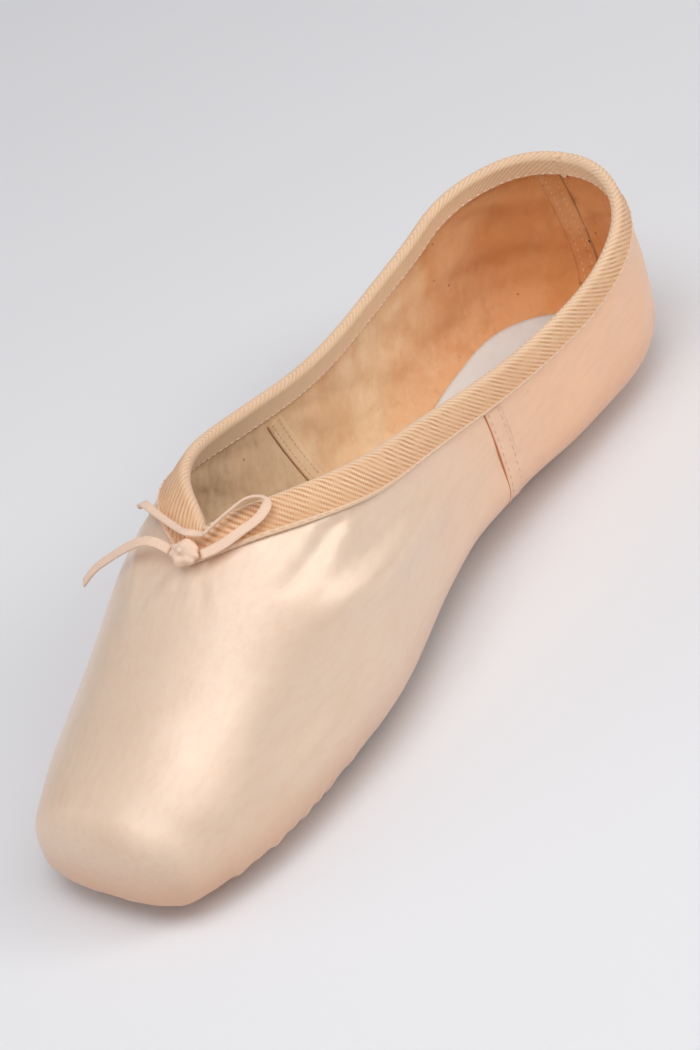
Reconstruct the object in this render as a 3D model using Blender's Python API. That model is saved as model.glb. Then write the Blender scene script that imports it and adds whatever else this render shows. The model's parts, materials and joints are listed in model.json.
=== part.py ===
"""A pointe shoe, standing empty on its sole, as the separate pieces that a maker joins.

Metres, +Z up, toe toward -Y, heel toward +Y. The floor is z = 0 and the shoe is the same on both
sides of the plane x = 0. Every curved piece is read from one surface, the outside of the upper,
whose cross sections come from the table SECTIONS, so neighbours follow each other at CLEARANCE.
"""

import bmesh
import bpy
import numpy as np
from mathutils import Matrix

# Driving sizes
LENGTH = 0.242
BALL_WIDTH = 0.074
INSTEP = 0.065
HEEL_HEIGHT = 0.055
CLEARANCE = 0.0003
SHARP_ANGLE = 40.0

# Walls and layers
QUARTER_WALL = 0.0014
BOX_WALL = 0.0038
OUTSOLE_THICKNESS = 0.0030
OUTSOLE_WORN = 0.0005
OUTSOLE_SKIVE = 0.0008
INSOLE_THICKNESS = 0.0020
FLANGE_WIDTH = 0.0070

# Where the wall starts to grow toward the box, and over how much of LENGTH it does
BOX_START = 0.62
BOX_GROWTH = 0.24

# Collar binding: how far the bead reaches down the tape and how round its two shoulders are
TAPE_THICKNESS = 0.0006
TAPE_DROP = 0.0095
BEAD_BULGE = 0.0004
BEAD_REACH = 0.35
SHOULDER_UP = 0.8
SHOULDER_OUT = 0.6

# Heel strip
STRIP_WIDTH = 0.0130
STRIP_THICKNESS = 0.0005

# Drawstring: the knot's size, place and lean, and the points that each stretch of cord runs through
CORD_WIDTH = 0.0024
CORD_STEP = 0.0030
KNOT_SIZE = (0.0076, 0.0064, 0.0046)
KNOT_PLACE = (0.0000, -0.0605, 0.0622)
KNOT_LEAN = 31.0
LOOP_ROUTE = [
    (0.0046, -0.0600, 0.0622),
    (0.0085, -0.0566, 0.0632),
    (0.0121, -0.0518, 0.0647),
    (0.0148, -0.0473, 0.0661),
    (0.0146, -0.0438, 0.0679),
    (0.0112, -0.0448, 0.0688),
    (0.0082, -0.0486, 0.0680),
    (0.0060, -0.0521, 0.0667),
    (0.0033, -0.0563, 0.0650),
]
END_ROUTE = [
    (-0.0042, -0.0605, 0.0623),
    (-0.0100, -0.0600, 0.0632),
    (-0.0167, -0.0600, 0.0606),
    (-0.0261, -0.0600, 0.0543),
    (-0.0325, -0.0601, 0.0494),
    (-0.0375, -0.0604, 0.0443),
]
TAIL_ROUTE = [
    (-0.0033, -0.0563, 0.0650),
    (-0.0085, -0.0540, 0.0644),
    (-0.0145, -0.0513, 0.0637),
    (-0.0205, -0.0478, 0.0619),
    (-0.0260, -0.0440, 0.0584),
    (-0.0306, -0.0400, 0.0533),
]

# Grid of every shell: meridians on one side from heel to toe, rows in the free part of a meridian
SIDE_COLUMNS = 32
STRIP_COLUMNS = 2
FREE_ROWS = 11
FINE_STEPS = 150
EDGE_STEPS = 400
TURN_WEIGHT = 0.012

# The height that the shares count from grows between these places, from HEEL_HEIGHT to INSTEP
GROW_FROM = 0.10
GROW_OVER = 0.55

# Cross sections from heel to toe. Along is a share of LENGTH, half width a share of half the ball
# width, the heights shares of the shoe's height there, and the powers round or square each half.
SECTION_COLUMNS = ("along", "half_width", "crown", "widest", "underside", "top_power", "low_power")
SECTIONS = np.array([
    [0.00, 0.800, 1.610, 0.310, 0.022, 2.30, 2.6],
    [0.10, 0.850, 1.580, 0.312, 0.000, 2.30, 3.0],
    [0.20, 0.865, 1.500, 0.316, 0.000, 2.30, 3.0],
    [0.32, 0.800, 1.375, 0.325, 0.031, 2.30, 2.8],
    [0.44, 0.755, 1.270, 0.330, 0.046, 2.20, 2.6],
    [0.56, 0.845, 1.187, 0.328, 0.021, 2.10, 3.0],
    [0.66, 0.970, 1.055, 0.320, 0.000, 2.10, 3.4],
    [0.72, 1.000, 0.956, 0.310, 0.000, 2.10, 3.4],
    [0.80, 0.948, 0.775, 0.250, 0.000, 2.05, 3.6],
    [0.90, 0.840, 0.573, 0.215, 0.012, 2.00, 3.6],
    [1.00, 0.558, 0.443, 0.200, 0.020, 2.10, 3.2],
])

# Rim of the collar from the throat back to the heel. Half gap is a share of half the ball width,
# height a share of the shoe's height there.
RIM_COLUMNS = ("along", "half_gap", "height")
RIM = np.array([
    [0.720, 0.000, 0.962],
    [0.700, 0.139, 0.958],
    [0.666, 0.336, 0.929],
    [0.601, 0.487, 0.846],
    [0.494, 0.549, 0.786],
    [0.365, 0.603, 0.721],
    [0.236, 0.673, 0.714],
    [0.117, 0.671, 0.790],
    [0.042, 0.437, 0.912],
    [0.015, 0.000, 0.955],
])

# Outline of the outsole, half width as a share of half the ball width
OUTLINE_COLUMNS = ("along", "half_width")
OUTLINE = np.array([
    [0.05, 0.600],
    [0.12, 0.600],
    [0.20, 0.575],
    [0.32, 0.460],
    [0.44, 0.470],
    [0.56, 0.660],
    [0.68, 0.800],
    [0.78, 0.780],
    [0.885, 0.660],
])
OUTLINE_FROM = 0.055
OUTLINE_TO = 0.885
OUTLINE_HEEL_ROUND = 0.075
OUTLINE_TOE_ROUND = 0.070
OUTLINE_TOE_POWER = 2.3

# Where the insole's top steps up from the opening to the flange, as a share of the way inward
INSOLE_STEP = 0.3

# How far the back wall stands forward of its rearmost point, by height, both shares of HEEL_HEIGHT
BACK_COLUMNS = ("height", "set_in")
BACK = np.array([
    [0.00, 0.330],
    [0.05, 0.200],
    [0.13, 0.090],
    [0.30, 0.013],
    [0.58, 0.010],
    [0.83, 0.036],
    [1.03, 0.072],
    [1.25, 0.110],
])
BACK_REACH = 0.32

# Rounding of the platform at the toe and of the heel, as shares of LENGTH, and their squareness
TOE_ROUND = 0.036
TOE_POWER = 3.0
HEEL_ROUND = 0.13
HEEL_POWER = 2.15

# Which place of the rim, from heel 0 to throat 1, each place of the sole opening's edge runs up to
PAIRS_COLUMNS = ("under", "rim")
PAIRS = np.array([
    [0.00, 0.000],
    [0.13, 0.100],
    [0.28, 0.235],
    [0.48, 0.550],
    [0.66, 0.800],
    [0.82, 0.930],
    [1.00, 1.000],
])

# The spine that every surface point is seen from, between these shares of LENGTH, and the length
# that stands for a quarter turn around its ends when the surface is laid flat
SPINE_FROM = 0.135
SPINE_TO = 0.790
FLAT_TURN = 0.1860


def cells(table, names, name):
    """One named column of a table."""
    return table[:, names.index(name)]


def column(table, names, name, at):
    """Read one column of a table at the given places, along a natural cubic spline."""
    return spline(cells(table, names, names[0]), cells(table, names, name), at)


def spline(knots, values, at):
    """Natural cubic spline through the knots, held constant past both ends."""
    step = np.diff(knots)
    size = len(knots)
    matrix = np.eye(size)
    right = np.zeros(size)
    for row in range(1, size - 1):
        matrix[row, row - 1:row + 2] = step[row - 1], 2 * (step[row - 1] + step[row]), step[row]
        right[row] = 6 * ((values[row + 1] - values[row]) / step[row]
                          - (values[row] - values[row - 1]) / step[row - 1])
    bend = np.linalg.solve(matrix, right)
    at = np.clip(at, knots[0], knots[-1])
    cell = np.clip(np.searchsorted(knots, at) - 1, 0, size - 2)
    before = at - knots[cell]
    after = knots[cell + 1] - at
    width = step[cell]
    low = (values[cell] / width - bend[cell] * width / 6) * after
    high = (values[cell + 1] / width - bend[cell + 1] * width / 6) * before
    return (bend[cell] * after ** 3 + bend[cell + 1] * before ** 3) / (6 * width) + low + high


def smooth(value):
    """Ease from 0 to 1, level at both ends."""
    value = np.clip(value, 0, 1)
    return value * value * (3 - 2 * value)


def unit(vector):
    """The same directions at length 1."""
    return vector / np.maximum(np.linalg.norm(vector, axis=-1, keepdims=True), 1e-9)


def shoe_height(along):
    """Height that the table's heights are shares of: the heel's at the back, the instep's in front."""
    return HEEL_HEIGHT + (INSTEP - HEEL_HEIGHT) * smooth((along - GROW_FROM) / GROW_OVER)


def sole_top():
    """Height of the upper's underside over the floor where its section touches 0."""
    return OUTSOLE_THICKNESS + CLEARANCE


def level(point):
    """Value below 0 inside the upper's outer surface, and above 0 outside it."""
    along = 0.5 - point[..., 1] / LENGTH
    set_in = HEEL_HEIGHT * column(BACK, BACK_COLUMNS, "set_in", point[..., 2] / HEEL_HEIGHT)
    along = along - set_in / LENGTH * smooth(1 - along / BACK_REACH)
    beyond = (along < 0) | (along > 1)
    along = np.clip(along, 0, 1)
    height = shoe_height(along)
    row = {name: column(SECTIONS, SECTION_COLUMNS, name, along) for name in SECTION_COLUMNS[1:]}
    toe = np.clip(1 - (1 - along) / TOE_ROUND, 0, 1)
    toe = np.maximum(1 - toe ** TOE_POWER, 1e-9) ** (1 / TOE_POWER)
    heel = np.clip(1 - along / HEEL_ROUND, 0, 1)
    heel = np.maximum(1 - heel ** HEEL_POWER, 1e-9) ** (1 / HEEL_POWER)
    half = 0.5 * BALL_WIDTH * row["half_width"] * toe * heel
    middle = height * row["widest"]
    rise = (height * row["crown"] - middle) * toe
    drop = (middle - sole_top() - height * row["underside"]) * toe
    over = point[..., 2] > middle
    power = np.where(over, row["top_power"], row["low_power"])
    tall = np.abs(point[..., 2] - middle) / np.where(over, rise, drop)
    wide = np.abs(point[..., 0]) / np.maximum(half, 1e-7)
    return np.where(beyond, 9.0, (wide ** power + tall ** power) ** (1 / power) - 1)


def normals(point, step=2e-5):
    """Unit vectors out of the surface, from differences of the level function."""
    slope = [level(point + step * axis) - level(point - step * axis) for axis in np.eye(3)]
    slope = np.stack(slope, -1)
    return slope / np.linalg.norm(slope, axis=-1, keepdims=True)


def shoot(origin, direction):
    """Point where each ray from inside meets the outer surface, by halving."""
    near = np.zeros(origin.shape[:-1])
    far = near + LENGTH
    for _ in range(30):
        middle = (near + far) / 2
        inside = level(origin + middle[..., None] * direction) < 0
        near = np.where(inside, middle, near)
        far = np.where(inside, far, middle)
    return origin + ((near + far) / 2)[..., None] * direction


def spine(along):
    """Point on the spine inside the shoe."""
    height = shoe_height(along) * column(SECTIONS, SECTION_COLUMNS, "widest", along)
    return np.stack([np.zeros_like(along), (0.5 - along) * LENGTH, height], -1)


def lay_flat(point):
    """Flat coordinates of a surface point: its turn around the spine, and its place along it."""
    along = np.clip(0.5 - point[..., 1] / LENGTH, SPINE_FROM, SPINE_TO)
    arm = point - spine(along)
    flat = np.stack([arm[..., 0], -arm[..., 1]], -1)
    reach = np.linalg.norm(flat, axis=-1)
    turn = 1 - np.arctan2(arm[..., 2], reach) * 2 / np.pi
    flat = flat / np.maximum(reach, 1e-9)[..., None] * turn[..., None]
    return np.stack([flat[..., 0], along / FLAT_TURN + flat[..., 1]], -1)


def raise_flat(flat):
    """Surface point at given flat coordinates."""
    place = flat[..., 1] * FLAT_TURN
    along = np.clip(place, SPINE_FROM, SPINE_TO)
    arm = np.stack([flat[..., 0], (place - along) / FLAT_TURN], -1)
    turn = np.linalg.norm(arm, axis=-1)
    arm = arm / np.maximum(turn, 1e-9)[..., None]
    pitch = np.pi / 2 * (1 - turn)
    way = [arm[..., 0] * np.cos(pitch), -arm[..., 1] * np.cos(pitch), np.sin(pitch)]
    return shoot(spine(along), np.stack(way, -1))


def along_path(path, share):
    """Points at shares of a path's length."""
    run = np.append(0, np.cumsum(np.linalg.norm(np.diff(path, axis=0), axis=1)))
    share = share * run[-1]
    return np.stack([np.interp(share, run, path[:, axis]) for axis in range(path.shape[1])], -1)


def rim_points(share):
    """Rim of the collar on the +X side, from the heel at share 0 to the throat at share 1."""
    along, half_gap, height = [cells(RIM[::-1], RIM_COLUMNS, name) for name in RIM_COLUMNS]
    side = [half_gap * 0.5 * BALL_WIDTH, (0.5 - along) * LENGTH, height * shoe_height(along)]
    side = np.stack(side, -1)
    loop = np.concatenate([(side * [-1, 1, 1])[:0:-1], side])
    run = np.append(0, np.cumsum(np.linalg.norm(np.diff(loop, axis=0), axis=1)))
    run = 2 * run / run[-1] - 1
    return np.stack([spline(run, loop[:, axis], share) for axis in range(3)], -1)


def outline_half(along, inset):
    """Half width of the outsole's outline, drawn in by the inset."""
    start = OUTLINE_FROM + inset / LENGTH
    end = OUTLINE_TO - inset / LENGTH
    half = 0.5 * BALL_WIDTH * column(OUTLINE, OUTLINE_COLUMNS, "half_width", along) - inset
    back = np.clip((start + OUTLINE_HEEL_ROUND - along) / OUTLINE_HEEL_ROUND, 0, 1)
    front = np.clip((along - end + OUTLINE_TOE_ROUND) / OUTLINE_TOE_ROUND, 0, 1)
    return half * np.sqrt(1 - back ** 2) * np.sqrt(1 - front ** OUTLINE_TOE_POWER)


def under_points():
    """Edge of the upper's opening underneath, on the +X side from heel to toe, in flat coordinates."""
    start = OUTLINE_FROM + FLANGE_WIDTH / LENGTH
    end = OUTLINE_TO - FLANGE_WIDTH / LENGTH
    along = start + (end - start) * (1 - np.cos(np.linspace(0, np.pi, EDGE_STEPS))) / 2
    height = sole_top() + shoe_height(along) * column(SECTIONS, SECTION_COLUMNS, "underside", along)
    half = outline_half(along, FLANGE_WIDTH)
    return lay_flat(np.stack([half, (0.5 - along) * LENGTH, height], -1))


def column_shares():
    """Shares of the opening's edge at which the meridians start, with one along the heel strip."""
    rim = rim_points(np.linspace(0, 1, EDGE_STEPS))
    rim_length = np.linalg.norm(np.diff(rim, axis=0), axis=1).sum()
    under, over = [cells(PAIRS, PAIRS_COLUMNS, name) for name in PAIRS_COLUMNS]
    strip = np.interp(0.5 * STRIP_WIDTH / rim_length, over, under)
    free = np.linspace(strip, 1, SIDE_COLUMNS - STRIP_COLUMNS)
    return np.concatenate([np.linspace(0, strip, STRIP_COLUMNS + 1)[:-1], free])


def fine_meridians():
    """Meridians of the outer surface on the +X side, each in many small steps up to the rim."""
    share = column_shares()
    low = along_path(under_points(), share)
    high = lay_flat(rim_points(column(PAIRS, PAIRS_COLUMNS, "rim", share)))
    low[[0, -1], 0] = 0
    high[[0, -1], 0] = 0
    step = np.linspace(0, 1, FINE_STEPS + 1)[None, :, None]
    return raise_flat(low[:, None] * (1 - step) + high[:, None] * step)


def row_runs(path):
    """Distances along one meridian at which the rows of the grid lie, closer where it turns."""
    leg = np.diff(path, axis=0)
    length = np.linalg.norm(leg, axis=1)
    run = np.append(0, np.cumsum(length))
    way = leg / length[:, None]
    turn = np.append(0, np.arccos(np.clip((way[1:] * way[:-1]).sum(axis=1), -1, 1)))
    low = np.array([0, 0.5, 1, 1]) * FLANGE_WIDTH + np.array([0, 0, 0, CLEARANCE])
    high = run[-1] - np.array([TAPE_DROP + CLEARANCE, *(TAPE_DROP * np.array([3, 2, 1, 0]) / 3)])
    measure = np.append(0, np.cumsum(length + TURN_WEIGHT * turn))
    ends = np.interp([low[-1], high[0]], run, measure)
    free = np.interp(np.linspace(*ends, FREE_ROWS + 1)[1:-1], measure, run)
    return np.concatenate([low, free, high])


def upper_grid():
    """Points and outward normals of the outer surface, all round: meridians by rows."""
    grid = []
    for path in fine_meridians():
        run = np.append(0, np.cumsum(np.linalg.norm(np.diff(path, axis=0), axis=1)))
        rows = row_runs(path)
        grid.append(np.stack([np.interp(rows, run, path[:, axis]) for axis in range(3)], -1))
    side = np.array(grid)
    other = side[-2:0:-1] * [-1, 1, 1]
    points = np.concatenate([side, other])
    return points, normals(points)


def wall_thickness(points):
    """Thickness of the wall at each point: the quarters', growing to the box's toward the toe."""
    along = 0.5 - points[..., 1] / LENGTH
    return QUARTER_WALL + (BOX_WALL - QUARTER_WALL) * smooth((along - BOX_START) / BOX_GROWTH)


def shell_solid(name, outer, inner, material, around=True, closed_start=True):
    """Make an object from two layers of points, meridians by rows, joined along their edges."""
    columns, rows = outer.shape[:2]
    mesh_data = bmesh.new()
    layers = [[[mesh_data.verts.new(point) for point in row] for row in layer]
              for layer in (outer, inner)]
    spans = range(columns if around else columns - 1)
    for one in spans:
        two = (one + 1) % columns
        for side, layer in enumerate(layers):
            for row in range(rows - 1):
                quad = layer[one][row], layer[two][row], layer[two][row + 1], layer[one][row + 1]
                mesh_data.faces.new(quad if side else quad[::-1])
        for row in (0, rows - 1)[0 if closed_start else 1:]:
            quad = layers[0][one][row], layers[0][two][row], layers[1][two][row], layers[1][one][row]
            mesh_data.faces.new(quad)
    if not around:
        for one in (0, columns - 1):
            for row in range(rows - 1):
                low = layers[0][one][row], layers[0][one][row + 1]
                mesh_data.faces.new((*low, layers[1][one][row + 1], layers[1][one][row]))
    bmesh.ops.remove_doubles(mesh_data, verts=mesh_data.verts, dist=1e-6)
    bmesh.ops.recalc_face_normals(mesh_data, faces=mesh_data.faces)
    return add_object(name, mesh_data, material)


def add_object(name, mesh_data, material):
    """Put a finished bmesh into the scene under a plain name, shaded smooth but for its edges."""
    mesh = bpy.data.meshes.new(name)
    mesh_data.to_mesh(mesh)
    mesh_data.free()
    mesh.shade_smooth()
    mesh.set_sharp_from_angle(angle=np.radians(SHARP_ANGLE))
    mesh.materials.append(material)
    thing = bpy.data.objects.new(name, mesh)
    bpy.context.scene.collection.objects.link(thing)
    return thing


def make_material(name, colour, roughness):
    """A Principled material with a linear colour and a roughness."""
    material = bpy.data.materials.new(name)
    material.use_nodes = True
    shader = material.node_tree.nodes["Principled BSDF"]
    shader.inputs["Base Color"].default_value = (*colour, 1)
    shader.inputs["Roughness"].default_value = roughness
    return material


def build_upper(points, out, material):
    """The hollow wall: the outer surface and the same surface drawn in by the wall."""
    wall = wall_thickness(points)[..., None]
    return shell_solid("upper", points, points - wall * out, material)


def sole_rows(points, out):
    """Rows of the underside from its middle line out to the outsole's edge, with their normals."""
    first = points[:, 0]
    limit = 0.5 - np.array([OUTLINE_TO - OUTLINE_TOE_ROUND, OUTLINE_FROM + OUTLINE_HEEL_ROUND])
    middle = first * [0, 1, 0]
    middle[:, 1] = np.clip(first[:, 1], *(limit * LENGTH))
    rows = [middle, 0.5 * (middle + first), first - CLEARANCE * unit(first - middle)]
    origin = np.stack(rows, 1)
    origin[..., 2] = spine(0.5 - origin[..., 1] / LENGTH)[..., 2]
    inside = shoot(origin, np.broadcast_to([0.0, 0.0, -1.0], origin.shape))
    return np.concatenate([inside, points[:, :3]], 1), np.concatenate([normals(inside), out[:, :3]], 1)


def build_outsole(points, out, material):
    """The sole: it follows the underside, with a skived edge and flat worn spots on the floor."""
    rows, way = sole_rows(points, out)
    top = rows + CLEARANCE * way
    low = top.copy()
    low[..., 2] -= OUTSOLE_THICKNESS
    low[:, -1] += OUTSOLE_SKIVE * unit((low[:, -2] - low[:, -1]) * [1, 1, 0])
    low[..., 2] = np.maximum(low[..., 2] - OUTSOLE_WORN, 0)
    return shell_solid("outsole", low, top, material, closed_start=False)


def build_insole(points, out, material):
    """The board inside: it fills the opening over the outsole and lies on the flange around it."""
    rows, way = sole_rows(points, out)
    lift = (wall_thickness(rows) + CLEARANCE)[..., None]
    raised = rows - lift * way
    low = np.concatenate([rows[:, :3], raised[:, 2:3], raised[:, 4:]], 1)
    top = raised - INSOLE_THICKNESS * way
    step = (1 - INSOLE_STEP) * top[:, 2:3] + INSOLE_STEP * top[:, 1:2]
    top = np.concatenate([top[:, :2], step, top[:, 2:3], top[:, 4:]], 1)
    return shell_solid("insole", low, top, material, closed_start=False)


def build_binding(points, out, material):
    """The tape folded over the rim: an outer leg, a round fold and a shorter leg inside."""
    wall = wall_thickness(points)[..., None]
    rim = points[:, -1]
    way = out[:, -1]
    up = unit(rim - points[:, -2])
    far = CLEARANCE + TAPE_THICKNESS
    fold = far + BEAD_BULGE
    bead = BEAD_REACH * (rim - points[:, -2])
    shoulder_up = SHOULDER_UP * far * up
    shoulder_out = SHOULDER_OUT * fold * way
    back = wall[:, -1] * way

    def outside(rows, height):
        """Points over the given rows of the outer surface."""
        return [points[:, row] + height * out[:, row] for row in rows]

    def inside(rows, height):
        """Points under the given rows of the wall's inner surface."""
        return [points[:, row] - (wall[:, row] + height) * out[:, row] for row in rows]

    ridge = rim + CLEARANCE * up
    near_layer = [
        *outside((-4, -3, -2, -1), CLEARANCE),
        ridge,
        ridge - 0.5 * back,
        ridge - back,
        *inside((-1, -2, -3), CLEARANCE),
    ]
    far_layer = [
        *outside((-4, -3, -2), far),
        rim - bead + fold * way,
        rim + shoulder_up + shoulder_out,
        rim + fold * up - 0.5 * back,
        rim + shoulder_up - back - shoulder_out,
        rim - bead - back - fold * way,
        *inside((-2, -3), far),
    ]
    return shell_solid("collar_binding", np.stack(far_layer, 1), np.stack(near_layer, 1), material)


def build_heel_strip(points, out, material):
    """The strip down the back, from the binding to the outsole's end."""
    columns = [*range(-STRIP_COLUMNS, STRIP_COLUMNS + 1)]
    rows = slice(3, -4)
    way = out[columns, rows]
    low = points[columns, rows] + CLEARANCE * way
    return shell_solid("heel_strip", low + STRIP_THICKNESS * way, low, material, around=False)


def build_knot(material):
    """The knot at the throat, a small rounded lump that leans with the vamp."""
    mesh_data = bmesh.new()
    bmesh.ops.create_uvsphere(mesh_data, u_segments=16, v_segments=10, radius=0.5)
    bmesh.ops.scale(mesh_data, vec=KNOT_SIZE, verts=mesh_data.verts)
    lean = Matrix.Rotation(np.radians(KNOT_LEAN), 3, "X")
    bmesh.ops.rotate(mesh_data, matrix=lean, verts=mesh_data.verts)
    knot = add_object("drawstring_knot", mesh_data, material)
    knot.location = KNOT_PLACE
    return knot


def build_cord(name, route, material):
    """A stretch of cord: a tube along the smooth curve through its route."""
    route = np.array(route)
    run = np.append(0, np.cumsum(np.linalg.norm(np.diff(route, axis=0), axis=1)))
    at = np.linspace(0, run[-1], int(run[-1] / CORD_STEP) + 1)
    points = np.stack([spline(run, route[:, axis], at) for axis in range(3)], -1)
    curve = bpy.data.curves.new(name, "CURVE")
    curve.dimensions = "3D"
    curve.bevel_depth = 0.5 * CORD_WIDTH
    curve.bevel_resolution = 2
    curve.use_fill_caps = True
    path = curve.splines.new("POLY")
    path.points.add(len(points) - 1)
    for slot, point in zip(path.points, points):
        slot.co = (*point, 1)
    curve.materials.append(material)
    cord = bpy.data.objects.new(name, curve)
    bpy.context.scene.collection.objects.link(cord)
    return cord


def main():
    """Clear the scene and build the shoe's pieces."""
    for thing in list(bpy.data.objects):
        bpy.data.objects.remove(thing, do_unlink=True)
    satin = make_material("satin", (0.80, 0.60, 0.46), 0.35)
    leather = make_material("sole_leather", (0.26, 0.11, 0.05), 0.6)
    lining = make_material("sock_lining", (0.78, 0.70, 0.60), 0.85)
    twill = make_material("twill", (0.82, 0.57, 0.38), 0.7)
    cotton = make_material("cotton_cord", (0.85, 0.62, 0.46), 0.8)
    points, out = upper_grid()
    build_upper(points, out, satin)
    build_outsole(points, out, leather)
    build_insole(points, out, lining)
    build_binding(points, out, twill)
    build_heel_strip(points, out, satin)
    build_knot(cotton)
    build_cord("drawstring_loop", LOOP_ROUTE, cotton)
    build_cord("drawstring_end", END_ROUTE, cotton)
    build_cord("drawstring_tail", TAIL_ROUTE, cotton)


main()
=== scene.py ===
"""Looks of a satin pointe shoe: its cloth, tape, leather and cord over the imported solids.

Metres in the shoe's own frame: floor at z = 0, toe toward -Y, heel toward +Y, +X the side that the
camera sees. Every piece is worked out from one surface, the outside of the upper, whose tables and
formulas are those of the solids.
"""

import json
import logging
import math
from dataclasses import dataclass, field
from enum import Enum
from functools import cached_property
from typing import Any, Sequence

import bmesh
import bpy
import numpy as np
from mathutils import Matrix, Vector

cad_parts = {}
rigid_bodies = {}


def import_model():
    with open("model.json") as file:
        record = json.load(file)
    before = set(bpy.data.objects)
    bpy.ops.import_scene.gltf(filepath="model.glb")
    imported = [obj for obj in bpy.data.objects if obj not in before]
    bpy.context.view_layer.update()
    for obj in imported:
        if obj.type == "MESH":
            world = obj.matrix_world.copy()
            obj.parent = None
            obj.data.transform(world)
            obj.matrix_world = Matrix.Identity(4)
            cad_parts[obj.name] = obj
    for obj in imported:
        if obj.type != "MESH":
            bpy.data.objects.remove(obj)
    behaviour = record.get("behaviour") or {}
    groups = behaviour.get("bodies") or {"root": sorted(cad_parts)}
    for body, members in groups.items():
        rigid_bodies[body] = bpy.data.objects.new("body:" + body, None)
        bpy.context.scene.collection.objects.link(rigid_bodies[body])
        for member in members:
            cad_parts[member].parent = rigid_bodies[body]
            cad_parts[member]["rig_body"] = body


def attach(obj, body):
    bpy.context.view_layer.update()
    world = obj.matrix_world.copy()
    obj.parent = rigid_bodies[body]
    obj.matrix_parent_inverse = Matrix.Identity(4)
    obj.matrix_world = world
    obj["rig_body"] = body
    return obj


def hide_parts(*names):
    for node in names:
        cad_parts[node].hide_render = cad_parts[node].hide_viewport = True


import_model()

log = logging.getLogger("pointe_shoe")

Point = tuple[float, float, float]
Colour = tuple[float, float, float]


# Plain helpers


def smooth(value: np.ndarray) -> np.ndarray:
    """Ease from 0 to 1: three squares less two cubes of the value, clipped."""
    value = np.clip(value, 0, 1)
    return value * value * (3 - 2 * value)


def unit(vector: np.ndarray) -> np.ndarray:
    """The same directions at length 1."""
    return vector / np.maximum(np.linalg.norm(vector, axis=-1, keepdims=True), 1e-12)


def tint(red: int, green: int, blue: int) -> Colour:
    """Linear colour of a screen colour from 0 to 255."""
    return tuple(((c / 255 + 0.055) / 1.055) ** 2.4 if c > 10 else c / 3294 for c in (red, green, blue))


@dataclass(frozen=True)
class Table:
    """Named columns, each a natural cubic spline over the first one."""

    names: tuple[str, ...]
    rows: tuple[tuple[float, ...], ...]

    @cached_property
    def cells(self) -> np.ndarray:
        """The numbers as an array."""
        return np.array(self.rows)

    @cached_property
    def bends(self) -> np.ndarray:
        """Second derivatives at the knots, from the usual three-term equations.

        Returns:
            One row for each knot.
        """
        knots, values = self.cells[:, 0], self.cells[:, 1:]
        step = np.diff(knots)
        matrix = np.eye(len(knots))
        right = np.zeros_like(values)
        for row in range(1, len(knots) - 1):
            matrix[row, row - 1:row + 2] = step[row - 1], 2 * (step[row - 1] + step[row]), step[row]
            ahead = (values[row + 1] - values[row]) / step[row]
            right[row] = 6 * (ahead - (values[row] - values[row - 1]) / step[row - 1])
        return np.linalg.solve(matrix, right)

    def at(self, place: np.ndarray) -> np.ndarray:
        """All columns but the first at the given places, held constant past both ends.

        Args:
            place: places along the first column.

        Returns:
            The values, with one more axis than the places.
        """
        knots, values = self.cells[:, 0], self.cells[:, 1:]
        place = np.clip(place, knots[0], knots[-1])
        cell = np.clip(np.searchsorted(knots, place) - 1, 0, len(knots) - 2)
        width = np.diff(knots)[cell][..., None]
        before = place[..., None] - knots[cell][..., None]
        after = width - before
        low = (values[cell] / width - self.bends[cell] * width / 6) * after
        high = (values[cell + 1] / width - self.bends[cell + 1] * width / 6) * before
        return (self.bends[cell] * after ** 3 + self.bends[cell + 1] * before ** 3) / (6 * width) + low + high

    def column(self, name: str, place: np.ndarray) -> np.ndarray:
        """One named column at the given places."""
        return self.at(place)[..., self.names.index(name) - 1]


def distances(path: np.ndarray) -> np.ndarray:
    """Distance along a path at each of its points."""
    return np.append(0, np.cumsum(np.linalg.norm(np.diff(path, axis=0), axis=1)))


def route_table(run: np.ndarray, points: np.ndarray) -> Table:
    """A route's points as a spline over the number given at each of them."""
    return Table(("run", "x", "y", "z"), tuple(map(tuple, np.column_stack([run, points]))))


def smooth_path(route: Sequence[Point], count: int) -> np.ndarray:
    """Natural cubic spline through a route's points.

    Args:
        route: points to pass through, in order.
        count: how many points to return.

    Returns:
        Points along the spline, evenly spread by the chords between the route's points.
    """
    run = distances(np.array(route))
    return route_table(run, np.array(route)).at(np.linspace(0, run[-1], count))


# The surface that every piece follows


# Along is 0 at the heel and 1 at the toe; widths are shares of half the ball's width, heights of the
# shoe's height there, and the powers are the section's superellipse over and under its widest place.
SECTIONS = Table(
    ("along", "half_width", "crown", "widest", "underside", "top_power", "low_power"),
    (
        (0.00, 0.800, 1.610, 0.310, 0.022, 2.30, 2.6),
        (0.10, 0.850, 1.580, 0.312, 0.000, 2.30, 3.0),
        (0.20, 0.865, 1.500, 0.316, 0.000, 2.30, 3.0),
        (0.32, 0.800, 1.375, 0.325, 0.031, 2.30, 2.8),
        (0.44, 0.755, 1.270, 0.330, 0.046, 2.20, 2.6),
        (0.56, 0.845, 1.187, 0.328, 0.021, 2.10, 3.0),
        (0.66, 0.970, 1.055, 0.320, 0.000, 2.10, 3.4),
        (0.72, 1.000, 0.956, 0.310, 0.000, 2.10, 3.4),
        (0.80, 0.948, 0.775, 0.250, 0.000, 2.05, 3.6),
        (0.90, 0.840, 0.573, 0.215, 0.012, 2.00, 3.6),
        (1.00, 0.558, 0.443, 0.200, 0.020, 2.10, 3.2),
    ),
)
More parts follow.
